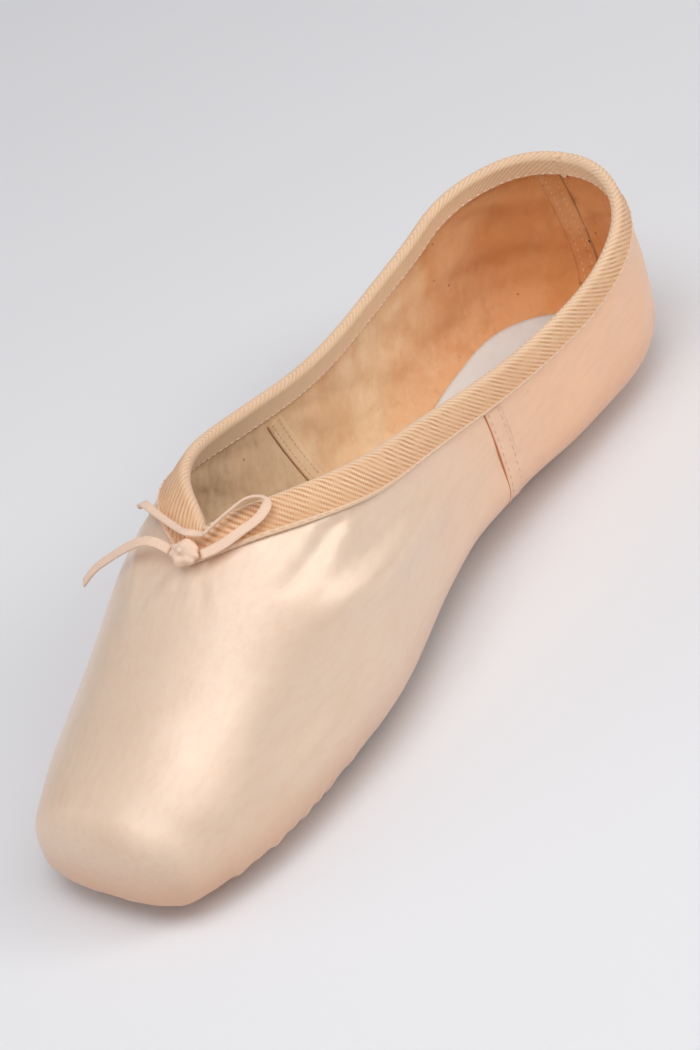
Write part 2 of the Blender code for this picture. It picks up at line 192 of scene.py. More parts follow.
RIM = Table(
    ("along", "half_gap", "height"),
    (
        (0.720, 0.000, 0.962),
        (0.700, 0.139, 0.958),
        (0.666, 0.336, 0.929),
        (0.601, 0.487, 0.846),
        (0.494, 0.549, 0.786),
        (0.365, 0.603, 0.721),
        (0.236, 0.673, 0.714),
        (0.117, 0.671, 0.790),
        (0.042, 0.437, 0.912),
        (0.015, 0.000, 0.955),
    ),
)
OUTLINE = Table(
    ("along", "half_width"),
    (
        (0.05, 0.600),
        (0.12, 0.600),
        (0.20, 0.575),
        (0.32, 0.460),
        (0.44, 0.470),
        (0.56, 0.660),
        (0.68, 0.800),
        (0.78, 0.780),
        (0.885, 0.660),
    ),
)
# How far the heel's end curves in at each height, both as shares of the heel's height.
BACK = Table(
    ("height", "set_in"),
    (
        (0.00, 0.330),
        (0.05, 0.200),
        (0.13, 0.090),
        (0.30, 0.013),
        (0.58, 0.010),
        (0.83, 0.036),
        (1.03, 0.072),
        (1.25, 0.110),
    ),
)
# Share of the rim that a line reaches from each share of the opening's edge underneath.
PAIRS = Table(
    ("under", "rim"),
    (
        (0.00, 0.000),
        (0.13, 0.100),
        (0.28, 0.235),
        (0.48, 0.550),
        (0.66, 0.800),
        (0.82, 0.930),
        (1.00, 1.000),
    ),
)


@dataclass(frozen=True)
class Last:
    """The outside of the upper as a surface, with the shoe's driving sizes."""

    length: float = 0.242
    ball_width: float = 0.074
    instep: float = 0.065
    heel_height: float = 0.055
    clearance: float = 0.0003
    quarter_wall: float = 0.0014
    box_wall: float = 0.0038
    sole_thickness: float = 0.0030
    flange: float = 0.0070
    tape_drop: float = 0.0084
    heel_drop: float = 0.0064
    outline_from: float = 0.055
    outline_to: float = 0.885
    outline_heel_round: float = 0.075
    outline_toe_round: float = 0.070
    back_reach: float = 0.32
    toe_round: float = 0.036
    toe_power: float = 3.0
    heel_round: float = 0.13
    heel_power: float = 2.15
    spine_from: float = 0.135
    spine_to: float = 0.790
    flat_turn: float = 0.1860
    rise_from: float = 0.10
    rise_over: float = 0.55
    box_from: float = 0.62
    box_over: float = 0.24
    drop_from: float = 0.38
    drop_over: float = 0.30
    outline_toe_power: float = 2.3
    lining_seam_foot: float = 0.0200
    lining_seam_lean: float = -0.0160 / 0.045
    outside_level: float = 9.0

    def height(self, along: np.ndarray) -> np.ndarray:
        """Height that the tables' heights are shares of."""
        rise = smooth((along - self.rise_from) / self.rise_over)
        return self.heel_height + (self.instep - self.heel_height) * rise

    @property
    def sole_top(self) -> float:
        """Height of the upper's underside where its section touches 0."""
        return self.sole_thickness + self.clearance

    def level(self, point: np.ndarray) -> np.ndarray:
        """Below 0 inside the surface: the superellipse of its section there, less 1.

        Args:
            point: points in the shoe's frame.

        Returns:
            The level at each point.
        """
        along = 0.5 - point[..., 1] / self.length
        set_in = self.heel_height * BACK.column("set_in", point[..., 2] / self.heel_height)
        along = along - set_in / self.length * smooth(1 - along / self.back_reach)
        beyond = (along < 0) | (along > 1)
        along = np.clip(along, 0, 1)
        height = self.height(along)
        half_width, crown, widest, underside, top_power, low_power = np.moveaxis(SECTIONS.at(along), -1, 0)
        toe = np.clip(1 - (1 - along) / self.toe_round, 0, 1)
        toe = np.maximum(1 - toe ** self.toe_power, 1e-9) ** (1 / self.toe_power)
        heel = np.clip(1 - along / self.heel_round, 0, 1)
        heel = np.maximum(1 - heel ** self.heel_power, 1e-9) ** (1 / self.heel_power)
        half = 0.5 * self.ball_width * half_width * toe * heel
        middle = height * widest
        rise = (height * crown - middle) * toe
        drop = (middle - self.sole_top - height * underside) * toe
        over = point[..., 2] > middle
        power = np.where(over, top_power, low_power)
        tall = np.abs(point[..., 2] - middle) / np.where(over, rise, drop)
        wide = np.abs(point[..., 0]) / np.maximum(half, 1e-7)
        level = (wide ** power + tall ** power) ** (1 / power) - 1
        return np.where(beyond, self.outside_level, level)

    def normals(self, point: np.ndarray, step: float = 3e-5) -> np.ndarray:
        """Unit vectors out of the surface, from differences of the level.

        Args:
            point: points on the surface or near it.
            step: half the distance over which the level is compared.

        Returns:
            A unit vector for each point.
        """
        slope = [self.level(point + step * axis) - self.level(point - step * axis) for axis in np.eye(3)]
        return unit(np.stack(slope, -1))

    def shoot(self, origin: np.ndarray, way: np.ndarray) -> np.ndarray:
        """Where each ray from inside meets the surface, by halving.

        Args:
            origin: starting points inside.
            way: unit directions.

        Returns:
            The points on the surface.
        """
        near = np.zeros(origin.shape[:-1])
        far = near + 0.5 * self.length
        for _ in range(24):
            middle = (near + far) / 2
            inside = self.level(origin + middle[..., None] * way) < 0
            near = np.where(inside, middle, near)
            far = np.where(inside, far, middle)
        return origin + ((near + far) / 2)[..., None] * way

    def spine(self, along: np.ndarray) -> np.ndarray:
        """Point on the spine inside the shoe."""
        height = self.height(along) * SECTIONS.column("widest", along)
        return np.stack([np.zeros_like(along), (0.5 - along) * self.length, height], -1)

    def lay_flat(self, point: np.ndarray) -> np.ndarray:
        """Open the surface out flat around the spine, as a map around its pole.

        Args:
            point: points on the surface.

        Returns:
            Two flat coordinates for each: the arm's pitch sets the distance from the pole.
        """
        along = np.clip(0.5 - point[..., 1] / self.length, self.spine_from, self.spine_to)
        arm = point - self.spine(along)
        flat = np.stack([arm[..., 0], -arm[..., 1]], -1)
        reach = np.linalg.norm(flat, axis=-1)
        turn = 1 - np.arctan2(arm[..., 2], reach) * 2 / np.pi
        flat = flat / np.maximum(reach, 1e-9)[..., None] * turn[..., None]
        return np.stack([flat[..., 0], along / self.flat_turn + flat[..., 1]], -1)

    def raise_flat(self, flat: np.ndarray) -> np.ndarray:
        """Undo lay_flat: turn flat coordinates into a ray from the spine and follow it out.

        Args:
            flat: flat coordinates.

        Returns:
            The surface point of each.
        """
        place = flat[..., 1] * self.flat_turn
        along = np.clip(place, self.spine_from, self.spine_to)
        arm = np.stack([flat[..., 0], (place - along) / self.flat_turn], -1)
        turn = np.linalg.norm(arm, axis=-1)
        arm = arm / np.maximum(turn, 1e-9)[..., None]
        pitch = np.pi / 2 * (1 - turn)
        way = [arm[..., 0] * np.cos(pitch), -arm[..., 1] * np.cos(pitch), np.sin(pitch)]
        return self.shoot(self.spine(along), np.stack(way, -1))

    def wall(self, point: np.ndarray) -> np.ndarray:
        """Thickness of the wall: the quarters', growing to the box's toward the toe.

        Args:
            point: points on the surface.

        Returns:
            The thickness at each.
        """
        along = 0.5 - point[..., 1] / self.length
        box = smooth((along - self.box_from) / self.box_over)
        return self.quarter_wall + (self.box_wall - self.quarter_wall) * box

    def drop(self, share: np.ndarray) -> np.ndarray:
        """Width of the tape's outer leg: the heel's, growing to the throat's by the edge's share."""
        throat = smooth((share - self.drop_from) / self.drop_over)
        return self.heel_drop + (self.tape_drop - self.heel_drop) * throat

    def lining_seam(self, height: np.ndarray) -> np.ndarray:
        """Place along Y of the slanted seam between the two linings, at a height."""
        return self.lining_seam_foot + self.lining_seam_lean * height

    def outline_half(self, along: np.ndarray, inset: float) -> np.ndarray:
        """Half width of the sole's outline.

        Args:
            along: places along the shoe, 0 at the heel and 1 at the toe.
            inset: how far the outline is drawn in.

        Returns:
            The half width at each place.
        """
        start = self.outline_from + inset / self.length
        end = self.outline_to - inset / self.length
        half = 0.5 * self.ball_width * OUTLINE.column("half_width", along) - inset
        back = np.clip((start + self.outline_heel_round - along) / self.outline_heel_round, 0, 1)
        front = np.clip((along - end + self.outline_toe_round) / self.outline_toe_round, 0, 1)
        return half * np.sqrt(1 - back ** 2) * np.sqrt(1 - front ** self.outline_toe_power)

    def rim(self, share: np.ndarray) -> np.ndarray:
        """The collar's rim, as a spline through its table's points on both sides.

        Args:
            share: shares of the rim on the +X side, 0 at the heel and 1 at the throat.

        Returns:
            The rim's points.
        """
        along, half_gap, height = RIM.cells[::-1].T
        side = [half_gap * 0.5 * self.ball_width, (0.5 - along) * self.length, height * self.height(along)]
        side = np.stack(side, -1)
        loop = np.concatenate([(side * [-1, 1, 1])[:0:-1], side])
        run = distances(loop)
        return route_table(2 * run / run[-1] - 1, loop).at(share)


class Meridians:
    """Lines on the surface's +X side, from the opening underneath up to the collar's rim."""

    steps = 140
    edge_steps = 600
    apart = 10.0

    def __init__(self, last: Last, shares: np.ndarray) -> None:
        """Lay the lines over the surface, straight in its flat coordinates.

        Args:
            last: the surface.
            shares: share of the opening's edge at which each line starts, heel 0 to toe 1.
        """
        self.last = last
        self.shares = shares
        start = last.outline_from + last.flange / last.length
        end = last.outline_to - last.flange / last.length
        along = start + (end - start) * (1 - np.cos(np.linspace(0, np.pi, self.edge_steps))) / 2
        height = last.sole_top + last.height(along) * SECTIONS.column("underside", along)
        half = last.outline_half(along, last.flange)
        edge = last.lay_flat(np.stack([half, (0.5 - along) * last.length, height], -1))
        run = distances(edge)
        self.low = np.stack([np.interp(shares * run[-1], run, edge[:, axis]) for axis in (0, 1)], -1)
        self.high = last.lay_flat(last.rim(PAIRS.column("rim", shares)))
        self.low[[0, -1], 0] = 0
        self.high[[0, -1], 0] = 0
        step = np.linspace(0, 1, self.steps + 1)
        path = self.raised(np.broadcast_to(step, (len(shares), self.steps + 1)))
        length = np.linalg.norm(np.diff(path, axis=1), axis=2)
        self.run = np.concatenate([np.zeros((len(shares), 1)), np.cumsum(length, axis=1)], 1)

    def raised(self, step: np.ndarray) -> np.ndarray:
        """Surface points at steps from 0 to 1 of each line."""
        step = step[..., None]
        return self.last.raise_flat(self.low[:, None] * (1 - step) + self.high[:, None] * step)

    @property
    def total(self) -> np.ndarray:
        """Length of each line."""
        return self.run[:, -1]

    def points(self, run: np.ndarray) -> np.ndarray:
        """Surface points at lengths up each line: the step there, then the surface again.

        Args:
            run: lengths from the opening's edge, lines by rows.

        Returns:
            Points, lines by rows by three.
        """
        shift = np.arange(len(self.shares))[:, None] * self.apart
        step = np.broadcast_to(np.linspace(0, 1, self.steps + 1), self.run.shape)
        wanted = np.minimum(run, self.total[:, None]) + shift
        found = np.interp(wanted.ravel(), (self.run + shift).ravel(), step.ravel())
        return self.raised(found.reshape(run.shape))


def both_sides(side: np.ndarray) -> np.ndarray:
    """Close a half into a ring: the +X side's columns, then their mirror images back to the start.

    Args:
        side: columns by rows by three for points, or by one for plain numbers.

    Returns:
        The same with both sides.
    """
    flip = np.array([-1, 1, 1]) if side.shape[-1] == 3 and side.ndim > 2 else 1
    return np.concatenate([side, side[-2:0:-1] * flip])


# Meshes from arrays


def flux(points: np.ndarray, polygons: np.ndarray) -> float:
    """Which way polygons face: six times the volume that they close off, each as a fan.

    Args:
        points: vertex positions.
        polygons: vertex numbers, one polygon a row.

    Returns:
        A number above 0 where they face outward.
    """
    corner = points[polygons]
    first, a, b = corner[:, :1], corner[:, 1:-1], corner[:, 2:]
    return float((np.cross(a - first, b - first) * (first + a + b)).sum())


WELD_DISTANCE = 2e-6


def new_object(name: str, points: np.ndarray, faces: np.ndarray, finish: Sequence[bpy.types.Material],
               corners: np.ndarray | None = None, slots: np.ndarray | None = None,
               layers: dict[str, np.ndarray] | None = None, caps: np.ndarray | None = None,
               weld: bool = False) -> bpy.types.Object:
    """Put arrays into a mesh object whose faces point outward.

    Args:
        name: the piece's name.
        points: vertex positions, N by 3.
        faces: quads, M by 4, all the same way round.
        finish: materials of the piece.
        corners: UV of each quad's corners, M by 4 by 2.
        slots: material number of each quad.
        layers: named numbers at each vertex.
        caps: polygons that close open ends, each row one polygon.
        weld: merge points that lie together and turn the faces outward again.

    Returns:
        The object, in the scene and smooth.
    """
    if flux(points, faces) + (0.0 if caps is None else flux(points, caps)) < 0:
        faces = faces[:, ::-1]
        corners = None if corners is None else corners[:, ::-1]
        caps = None if caps is None else caps[:, ::-1]
    mesh = bpy.data.meshes.new(name)
    cap_count = 0 if caps is None else len(caps)
    loops = faces.ravel() if caps is None else np.concatenate([faces.ravel(), caps.ravel()])
    starts = np.arange(len(faces)) * 4
    if cap_count:
        starts = np.append(starts, len(faces) * 4 + np.arange(cap_count) * caps.shape[1])
    mesh.vertices.add(len(points))
    mesh.vertices.foreach_set("co", points.astype(np.float32).ravel())
    mesh.loops.add(len(loops))
    mesh.loops.foreach_set("vertex_index", loops.astype(np.int32))
    mesh.polygons.add(len(starts))
    mesh.polygons.foreach_set("loop_start", starts.astype(np.int32))
    for material in finish:
        mesh.materials.append(material)
    if slots is not None:
        mesh.polygons.foreach_set("material_index", np.append(slots, np.zeros(cap_count)).astype(np.int32))
    mesh.update(calc_edges=True)
    if corners is not None:
        flat = np.zeros((len(loops), 2), np.float32)
        flat[:len(faces) * 4] = corners.reshape(-1, 2)
        mesh.uv_layers.new(name="cloth").data.foreach_set("uv", flat.ravel())
    for layer, values in (layers or {}).items():
        data = mesh.attributes.new(layer, "FLOAT", "POINT").data
        data.foreach_set("value", values.astype(np.float32).ravel())
    if weld:
        data = bmesh.new()
        data.from_mesh(mesh)
        bmesh.ops.remove_doubles(data, verts=data.verts, dist=WELD_DISTANCE)
        bmesh.ops.recalc_face_normals(data, faces=data.faces)
        data.to_mesh(mesh)
        data.free()
    mesh.validate()
    mesh.shade_smooth()
    thing = bpy.data.objects.new(name, mesh)
    bpy.context.scene.collection.objects.link(thing)
    return thing


def ring_faces(columns: int, rows: int, closed: bool = True) -> tuple[np.ndarray, np.ndarray]:
    """Quads of a grid closed around its columns, and across its rows if asked.

    Args:
        columns: columns of the grid.
        rows: rows of the grid.
        closed: whether the last row joins the first.

    Returns:
        Faces by vertex number, and each corner's (column, row) counted on past the end.
    """
    i, j = np.meshgrid(np.arange(columns), np.arange(rows if closed else rows - 1), indexing="ij")
    i, j = i.ravel(), j.ravel()
    cell = np.stack([np.stack([i, j], -1), np.stack([i + 1, j], -1), np.stack([i + 1, j + 1], -1),
                     np.stack([i, j + 1], -1)], 1)
    return cell[..., 0] % columns * rows + cell[..., 1] % rows, cell


def tubes(name: str, rings: np.ndarray, finish: bpy.types.Material, across: float = 0.0,
          lengths: np.ndarray | None = None) -> bpy.types.Object:
    """One object of many closed tubes.

    Args:
        name: the piece's name.
        rings: tube by ring by corner by three.
        finish: the material.
        across: width that the UV's second number spans.
        lengths: distance along the tube at each ring, for the UV's first number.

    Returns:
        The object.
    """
    count, length, sides = rings.shape[:3]
    i, j = np.meshgrid(np.arange(length - 1), np.arange(sides), indexing="ij")
    i, j = i.ravel(), j.ravel()
    quad = np.stack([i * sides + j, (i + 1) * sides + j, (i + 1) * sides + (j + 1) % sides,
                     i * sides + (j + 1) % sides], 1)
    shift = (np.arange(count) * length * sides)[:, None, None]
    faces = (quad[None] + shift).reshape(-1, 4)
    first = np.arange(sides)
    last = first[::-1] + (length - 1) * sides
    caps = np.concatenate([first + shift[:, 0], last + shift[:, 0]])
    corners = None
    if lengths is not None:
        place = np.stack([lengths[np.stack([i, i + 1, i + 1, i], 1)],
                          across * np.stack([j, j, j + 1, j + 1], 1) / sides], -1)
        corners = np.broadcast_to(place, (count, *place.shape)).reshape(-1, 4, 2)
    return new_object(name, rings.reshape(-1, 3), faces, [finish], corners, caps=caps)


# Materials


class Graph:
    """A material's nodes, added one by one."""

    def __init__(self, name: str, roughness: float, **constants: Any) -> None:
        """Start a material.

        Args:
            name: the material's name.
            roughness: how rough it is.
            constants: values of the Principled shader's other sockets.
        """
        self.material = bpy.data.materials.new(name)
        self.material.use_nodes = True
        self.tree = self.material.node_tree
        self.shader = self.tree.nodes["Principled BSDF"]
        self.shader.inputs["Roughness"].default_value = roughness
        for key, value in constants.items():
            self.shader.inputs[key.replace("_", " ")].default_value = value

    def add(self, kind: str, inputs: dict[Any, Any] | None = None, **settings: Any) -> bpy.types.Node:
        """Add a node.

        Args:
            kind: the node's type.
            inputs: its inputs, each a value or another node's socket.
            settings: its own settings.

        Returns:
            The node.
        """
        node = self.tree.nodes.new(kind)
        for key, value in settings.items():
            setattr(node, key, value)
        for key, value in (inputs or {}).items():
            if isinstance(value, bpy.types.NodeSocket):
                self.tree.links.new(value, node.inputs[key])
            else:
                node.inputs[key].default_value = value
        return node

    def place(self, scale: Point = (1, 1, 1), turn: Point = (0, 0, 0)) -> bpy.types.NodeSocket:
        """Object coordinates, turned and scaled.

        Args:
            scale: factor on each axis.
            turn: turn about each axis, in radians.

        Returns:
            The coordinates.
        """
        source = self.add("ShaderNodeTexCoord").outputs["Object"]
        mapping = self.add("ShaderNodeMapping", {"Vector": source, "Scale": scale, "Rotation": turn})
        return mapping.outputs[0]

    def cloth(self) -> tuple[bpy.types.NodeSocket, bpy.types.NodeSocket]:
        """The piece's own UV.

        Returns:
            Its two numbers, in metres.
        """
        source = self.add("ShaderNodeUVMap", uv_map="cloth").outputs[0]
        split = self.add("ShaderNodeSeparateXYZ", {0: source})
        return split.outputs[0], split.outputs[1]

    def axis(self, number: int) -> bpy.types.NodeSocket:
        """One of the object coordinates, in metres: 0 is X, 1 is Y and 2 is Z."""
        return self.add("ShaderNodeSeparateXYZ", {0: self.place()}).outputs[number]

    def math(self, operation: str, first: Any, second: Any = 0.0, third: Any = 0.0,
             clamp: bool = False) -> bpy.types.NodeSocket:
        """One step of arithmetic."""
        inputs = {0: first, 1: second, 2: third}
        return self.add("ShaderNodeMath", inputs, operation=operation, use_clamp=clamp).outputs[0]

    def between(self, value: Any, low: float, high: float, start: float = 0.0,
                end: float = 1.0) -> bpy.types.NodeSocket:
        """Ease a value from start to end as it goes from low to high."""
        inputs = {"Value": value, "From Min": low, "From Max": high, "To Min": start, "To Max": end}
        return self.add("ShaderNodeMapRange", inputs, interpolation_type="SMOOTHSTEP").outputs[0]

    def noise(self, vector: Any, scale: float, detail: float = 3.0,
              rough: float = 0.5) -> bpy.types.NodeSocket:
        """Soft noise from 0 to 1."""
        inputs = {"Vector": vector, "Scale": scale, "Detail": detail, "Roughness": rough}
        return self.add("ShaderNodeTexNoise", inputs).outputs[0]

    def waves(self, value: Any, spacing: float) -> bpy.types.NodeSocket:
        """A sine from 0 to 1 that repeats with the spacing."""
        turned = self.math("SINE", self.math("MULTIPLY", value, math.tau / spacing))
        return self.between(turned, -1.0, 1.0)

    def mix(self, share: Any, first: Any, second: Any, blend: str = "MIX") -> bpy.types.NodeSocket:
        """Mix two colours.

        Args:
            share: how much of the second.
            first: a colour, or a socket that gives one.
            second: the other.
            blend: how the second goes over the first.

        Returns:
            The mixed colour.
        """
        first = (*first, 1) if isinstance(first, tuple) else first
        second = (*second, 1) if isinstance(second, tuple) else second
        node = self.add("ShaderNodeMix", data_type="RGBA", blend_type=blend)
        for key, value in ((0, share), (6, first), (7, second)):
            if isinstance(value, bpy.types.NodeSocket):
                self.tree.links.new(value, node.inputs[key])
            else:
                node.inputs[key].default_value = value
        return node.outputs[2]

    def bump(self, height: Any, depth: float, strength: float = 1.0,
             over: Any = None) -> bpy.types.NodeSocket:
        """Turn a height into a bumped normal.

        Args:
            height: height from 0 to 1.
            depth: what a height of 1 stands for, in metres.
            strength: share of the bump that shows.
            over: a normal that the bump is added to.

        Returns:
            The normal.
        """
        inputs = {"Height": height, "Distance": depth, "Strength": strength}
        if over is not None:
            inputs["Normal"] = over
        return self.add("ShaderNodeBump", inputs).outputs[0]

    def wire(self, **sockets: Any) -> bpy.types.Material:
        """Link sockets into the shader.

        Args:
            sockets: what goes into each of the shader's inputs.

        Returns:
            The finished material.
        """
        for key, value in sockets.items():
            self.tree.links.new(value, self.shader.inputs[key.replace("_", " ")])
        return self.material


@dataclass(frozen=True)
class SatinFinish:
    """Peach satin: pale over the vamp, warmer toward the heel, and deep orange low beside the sole as painted
    bounce light from the leather sole.
    """

    pale: Colour = tint(237, 209, 182)
    warm: Colour = tint(250, 198, 157)
    # deep: the deeper tone, used for the cloudy and streaky tone of the cloth and for the painted bounce
    # light from the sole
    deep: Colour = tint(214, 150, 104)
    thread: float = 0.00042

    def make(self) -> bpy.types.Material:
        """Weave of fine diagonal ribs, cloudy tone and a soft wide gloss.

        Returns:
            The material.
        """
        g = Graph("satin_cloth", 0.45, Metallic=0.18, Specular_IOR_Level=1.0, Sheen_Weight=0.12,
                  Sheen_Roughness=0.4, Anisotropic=0.6, Coat_Weight=0.6, Coat_Roughness=0.36)
        where = g.place()
        to_heel = g.between(g.axis(1), -0.030, 0.060)
        # Low beside the sole the satin is mixed toward the deep tone: painted bounce light from the leather
        # sole.
        low = g.between(g.axis(2), 0.022, 0.005)
        cloud = g.between(g.noise(where, 38, 3, 0.5), 0.35, 0.7)
        colour = g.mix(to_heel, self.pale, self.warm)
        colour = g.mix(g.math("MULTIPLY", low, 0.70), colour, self.deep)
        colour = g.mix(g.math("MULTIPLY", cloud, 0.10), colour, self.deep)
        streak = g.noise(g.place((1.0, 0.22, 1.0), (0.35, 0.0, 0.5)), 620, 3, 0.6)
        colour = g.mix(g.between(streak, 0.42, 0.68, 0.0, 0.10), colour, self.deep)
        u, v = g.cloth()
        rib = g.waves(g.math("ADD", g.math("MULTIPLY", u, 0.77), g.math("MULTIPLY", v, 0.64)), self.thread)
        slub = g.noise(g.place((1, 1, 2.5)), 700, 2, 0.6)
        ripple = g.noise(g.place((1.0, 0.5, 1.0)), 130, 2, 0.5)
        normal = g.bump(ripple, 0.0006, 0.5)
        normal = g.bump(rib, 0.00003, 0.4, normal)
        normal = g.bump(slub, 0.00008, 0.4, normal)
        gloss = g.between(g.noise(where, 90, 3, 0.6), 0.3, 0.75, 0.35, 0.44)
        worn_tip = g.between(g.axis(1), -0.092, -0.112, 0.0, 0.20)
        gloss = g.math("ADD", gloss, worn_tip)
        length = g.add("ShaderNodeVectorTransform", {0: (0.05, 1.0, 0.2)}, vector_type="VECTOR",
                       convert_from="OBJECT", convert_to="WORLD").outputs[0]
        return g.wire(Base_Color=colour, Normal=normal, Roughness=gloss, Tangent=length)


@dataclass(frozen=True)
class LiningFinish:
    """Woven lining inside: a base tone with cloudy stains, painted shade toward the heel and in its creases,
    fine twill and a few dark specks.
    """

    name: str
    base: Colour
    # The second colour serves both the real stains and the painted shade toward the heel and in the creases.
    stain_and_shade: Colour
    spot: Colour = tint(120, 76, 44)
    rib: float = 0.0009

    def make(self) -> bpy.types.Material:
        """Blend stains by soft noise, painted shade by the place toward the heel and by the creases, ribs by
        UV and specks by sparse cells.

        Returns:
            The material.
        """
        g = Graph(self.name, 0.86, Specular_IOR_Level=0.2, Sheen_Weight=0.1)
        where = g.place()
        stain_and_shade = g.between(g.noise(where, 42, 4, 0.55), 0.38, 0.68)
        # Deeper toward the heel's inner back the lining is mixed toward the darker colour: painted shade in
        # the heel's recess, added to the stains' noise.
        depth = g.between(g.axis(1), 0.050, 0.114, 0.0, 0.85)
        stain_and_shade = g.math("ADD", g.math("MULTIPLY", stain_and_shade, 0.45), depth, clamp=True)
        colour = g.mix(stain_and_shade, self.base, self.stain_and_shade)
        fleck = g.between(g.noise(g.place((1, 1, 3)), 420, 3, 0.6), 0.55, 0.75)
        colour = g.mix(g.math("MULTIPLY", fleck, 0.30), colour, self.stain_and_shade)
        u, v = g.cloth()
        rib = g.waves(g.math("ADD", u, g.math("MULTIPLY", v, 0.8)), self.rib)
        grain = g.noise(where, 900, 2, 0.6)
        colour = g.mix(g.math("MULTIPLY", rib, 0.10), colour, self.stain_and_shade, "MULTIPLY")
        cell = g.add("ShaderNodeTexVoronoi", {"Vector": where, "Scale": 210.0, "Randomness": 1.0})
        speck = g.between(cell.outputs["Distance"], 0.10, 0.04)
        few = g.between(g.noise(where, 80, 1, 0.5), 0.54, 0.60, 0.0, 0.8)
        colour = g.mix(g.math("MULTIPLY", speck, few), colour, self.spot)
        crease = g.noise(g.place((1.0, 0.8, 0.45), (0.5, 0.0, 0.3)), 72, 3, 0.5)
        # Darker where the crease bump is low: painted shade in the crease hollows.
        colour = g.mix(g.between(crease, 0.50, 0.36, 0.0, 0.25), colour, self.stain_and_shade)
        normal = g.bump(crease, 0.0055, 0.9)
        normal = g.bump(rib, 0.00006, 0.5, normal)
        normal = g.bump(grain, 0.00014, 0.6, normal)
        return g.wire(Base_Color=colour, Normal=normal)


@dataclass(frozen=True)
class TwillFinish:
    """Cotton tape in herringbone: diagonal ribs that turn back at the fold."""

    name: str = "herringbone_tape"
    ridge: Colour = tint(244, 212, 176)
    base: Colour = tint(234, 190, 148)
    gap: Colour = tint(206, 150, 106)
    # inner: the lighter tone painted on the inner leg, as painted light.
    inner: Colour = tint(255, 226, 182)
    # fold: the paler tone along the fold's top, a painted highlight.
    fold: Colour = tint(246, 218, 188)
    selvedge: Colour = tint(240, 204, 170)
    spacing: float = 0.00108
    lean: float = 36.0
    leg: float = 0.0079

    def make(self) -> bpy.types.Material:
        """Ribs from the distance along the tape and the distance across it from the fold; the inner leg and
        the fold's top are painted lighter and the outer leg's lower part darker, as painted light and shade.

        Returns:
            The material.
        """
        g = Graph(self.name, 0.8, Specular_IOR_Level=0.25, Sheen_Weight=0.2)
        u, v = g.cloth()
        across = g.math("MULTIPLY", g.math("ABSOLUTE", v), math.cos(math.radians(self.lean)))
        along = g.math("MULTIPLY", u, math.sin(math.radians(self.lean)))
        rib = g.waves(g.math("ADD", along, across), self.spacing)
        strand = g.waves(g.math("ADD", u, g.math("MULTIPLY", v, 0.4)), 0.00062)
        where = g.place()
        fuzz = g.noise(where, 1600, 2, 0.6)
        height = g.math("ADD", g.math("MULTIPLY", rib, 0.72), g.math("MULTIPLY", strand, 0.28))
        height = g.math("ADD", g.math("MULTIPLY", height, 0.8), g.math("MULTIPLY", fuzz, 0.3))
        patch = g.between(g.noise(g.place(), 260, 2, 0.5), 0.35, 0.65, 0.35, 1.0)
        height = g.math("MULTIPLY_ADD", g.math("SUBTRACT", height, 0.55), patch, 0.55)
        colour = g.mix(g.between(height, 0.25, 0.60), self.gap, self.base)
        colour = g.mix(g.between(height, 0.55, 0.95), colour, self.ridge)
        tone = g.between(g.noise(where, 60, 3, 0.5), 0.4, 0.7)
        colour = g.mix(g.math("MULTIPLY", tone, 0.18), colour, self.gap)
        # The inner leg is mixed toward a lighter tone: painted light on the leg inside the collar.
        colour = g.mix(g.between(v, 0.0006, 0.0022, 0.0, 0.62), colour, self.inner)
        # Paler next to the fold: painted highlight on the top of the tape.
        colour = g.mix(g.between(v, -0.0030, -0.0006, 0.0, 0.45), colour, self.fold)
        # Darker toward the outer leg's lower edge, using the gap colour: painted shade.
        low = g.between(v, -0.0040, -0.0075, 0.0, 0.30)
        colour = g.mix(low, colour, self.gap)
        edge = g.between(g.math("ABSOLUTE", v), self.leg - 0.0001, self.leg + 0.0001)
        colour = g.mix(edge, colour, self.selvedge)
        height = g.math("MULTIPLY", height, g.math("SUBTRACT", 1.0, edge))
        return g.wire(Base_Color=colour, Normal=g.bump(height, 0.00018, 0.7))


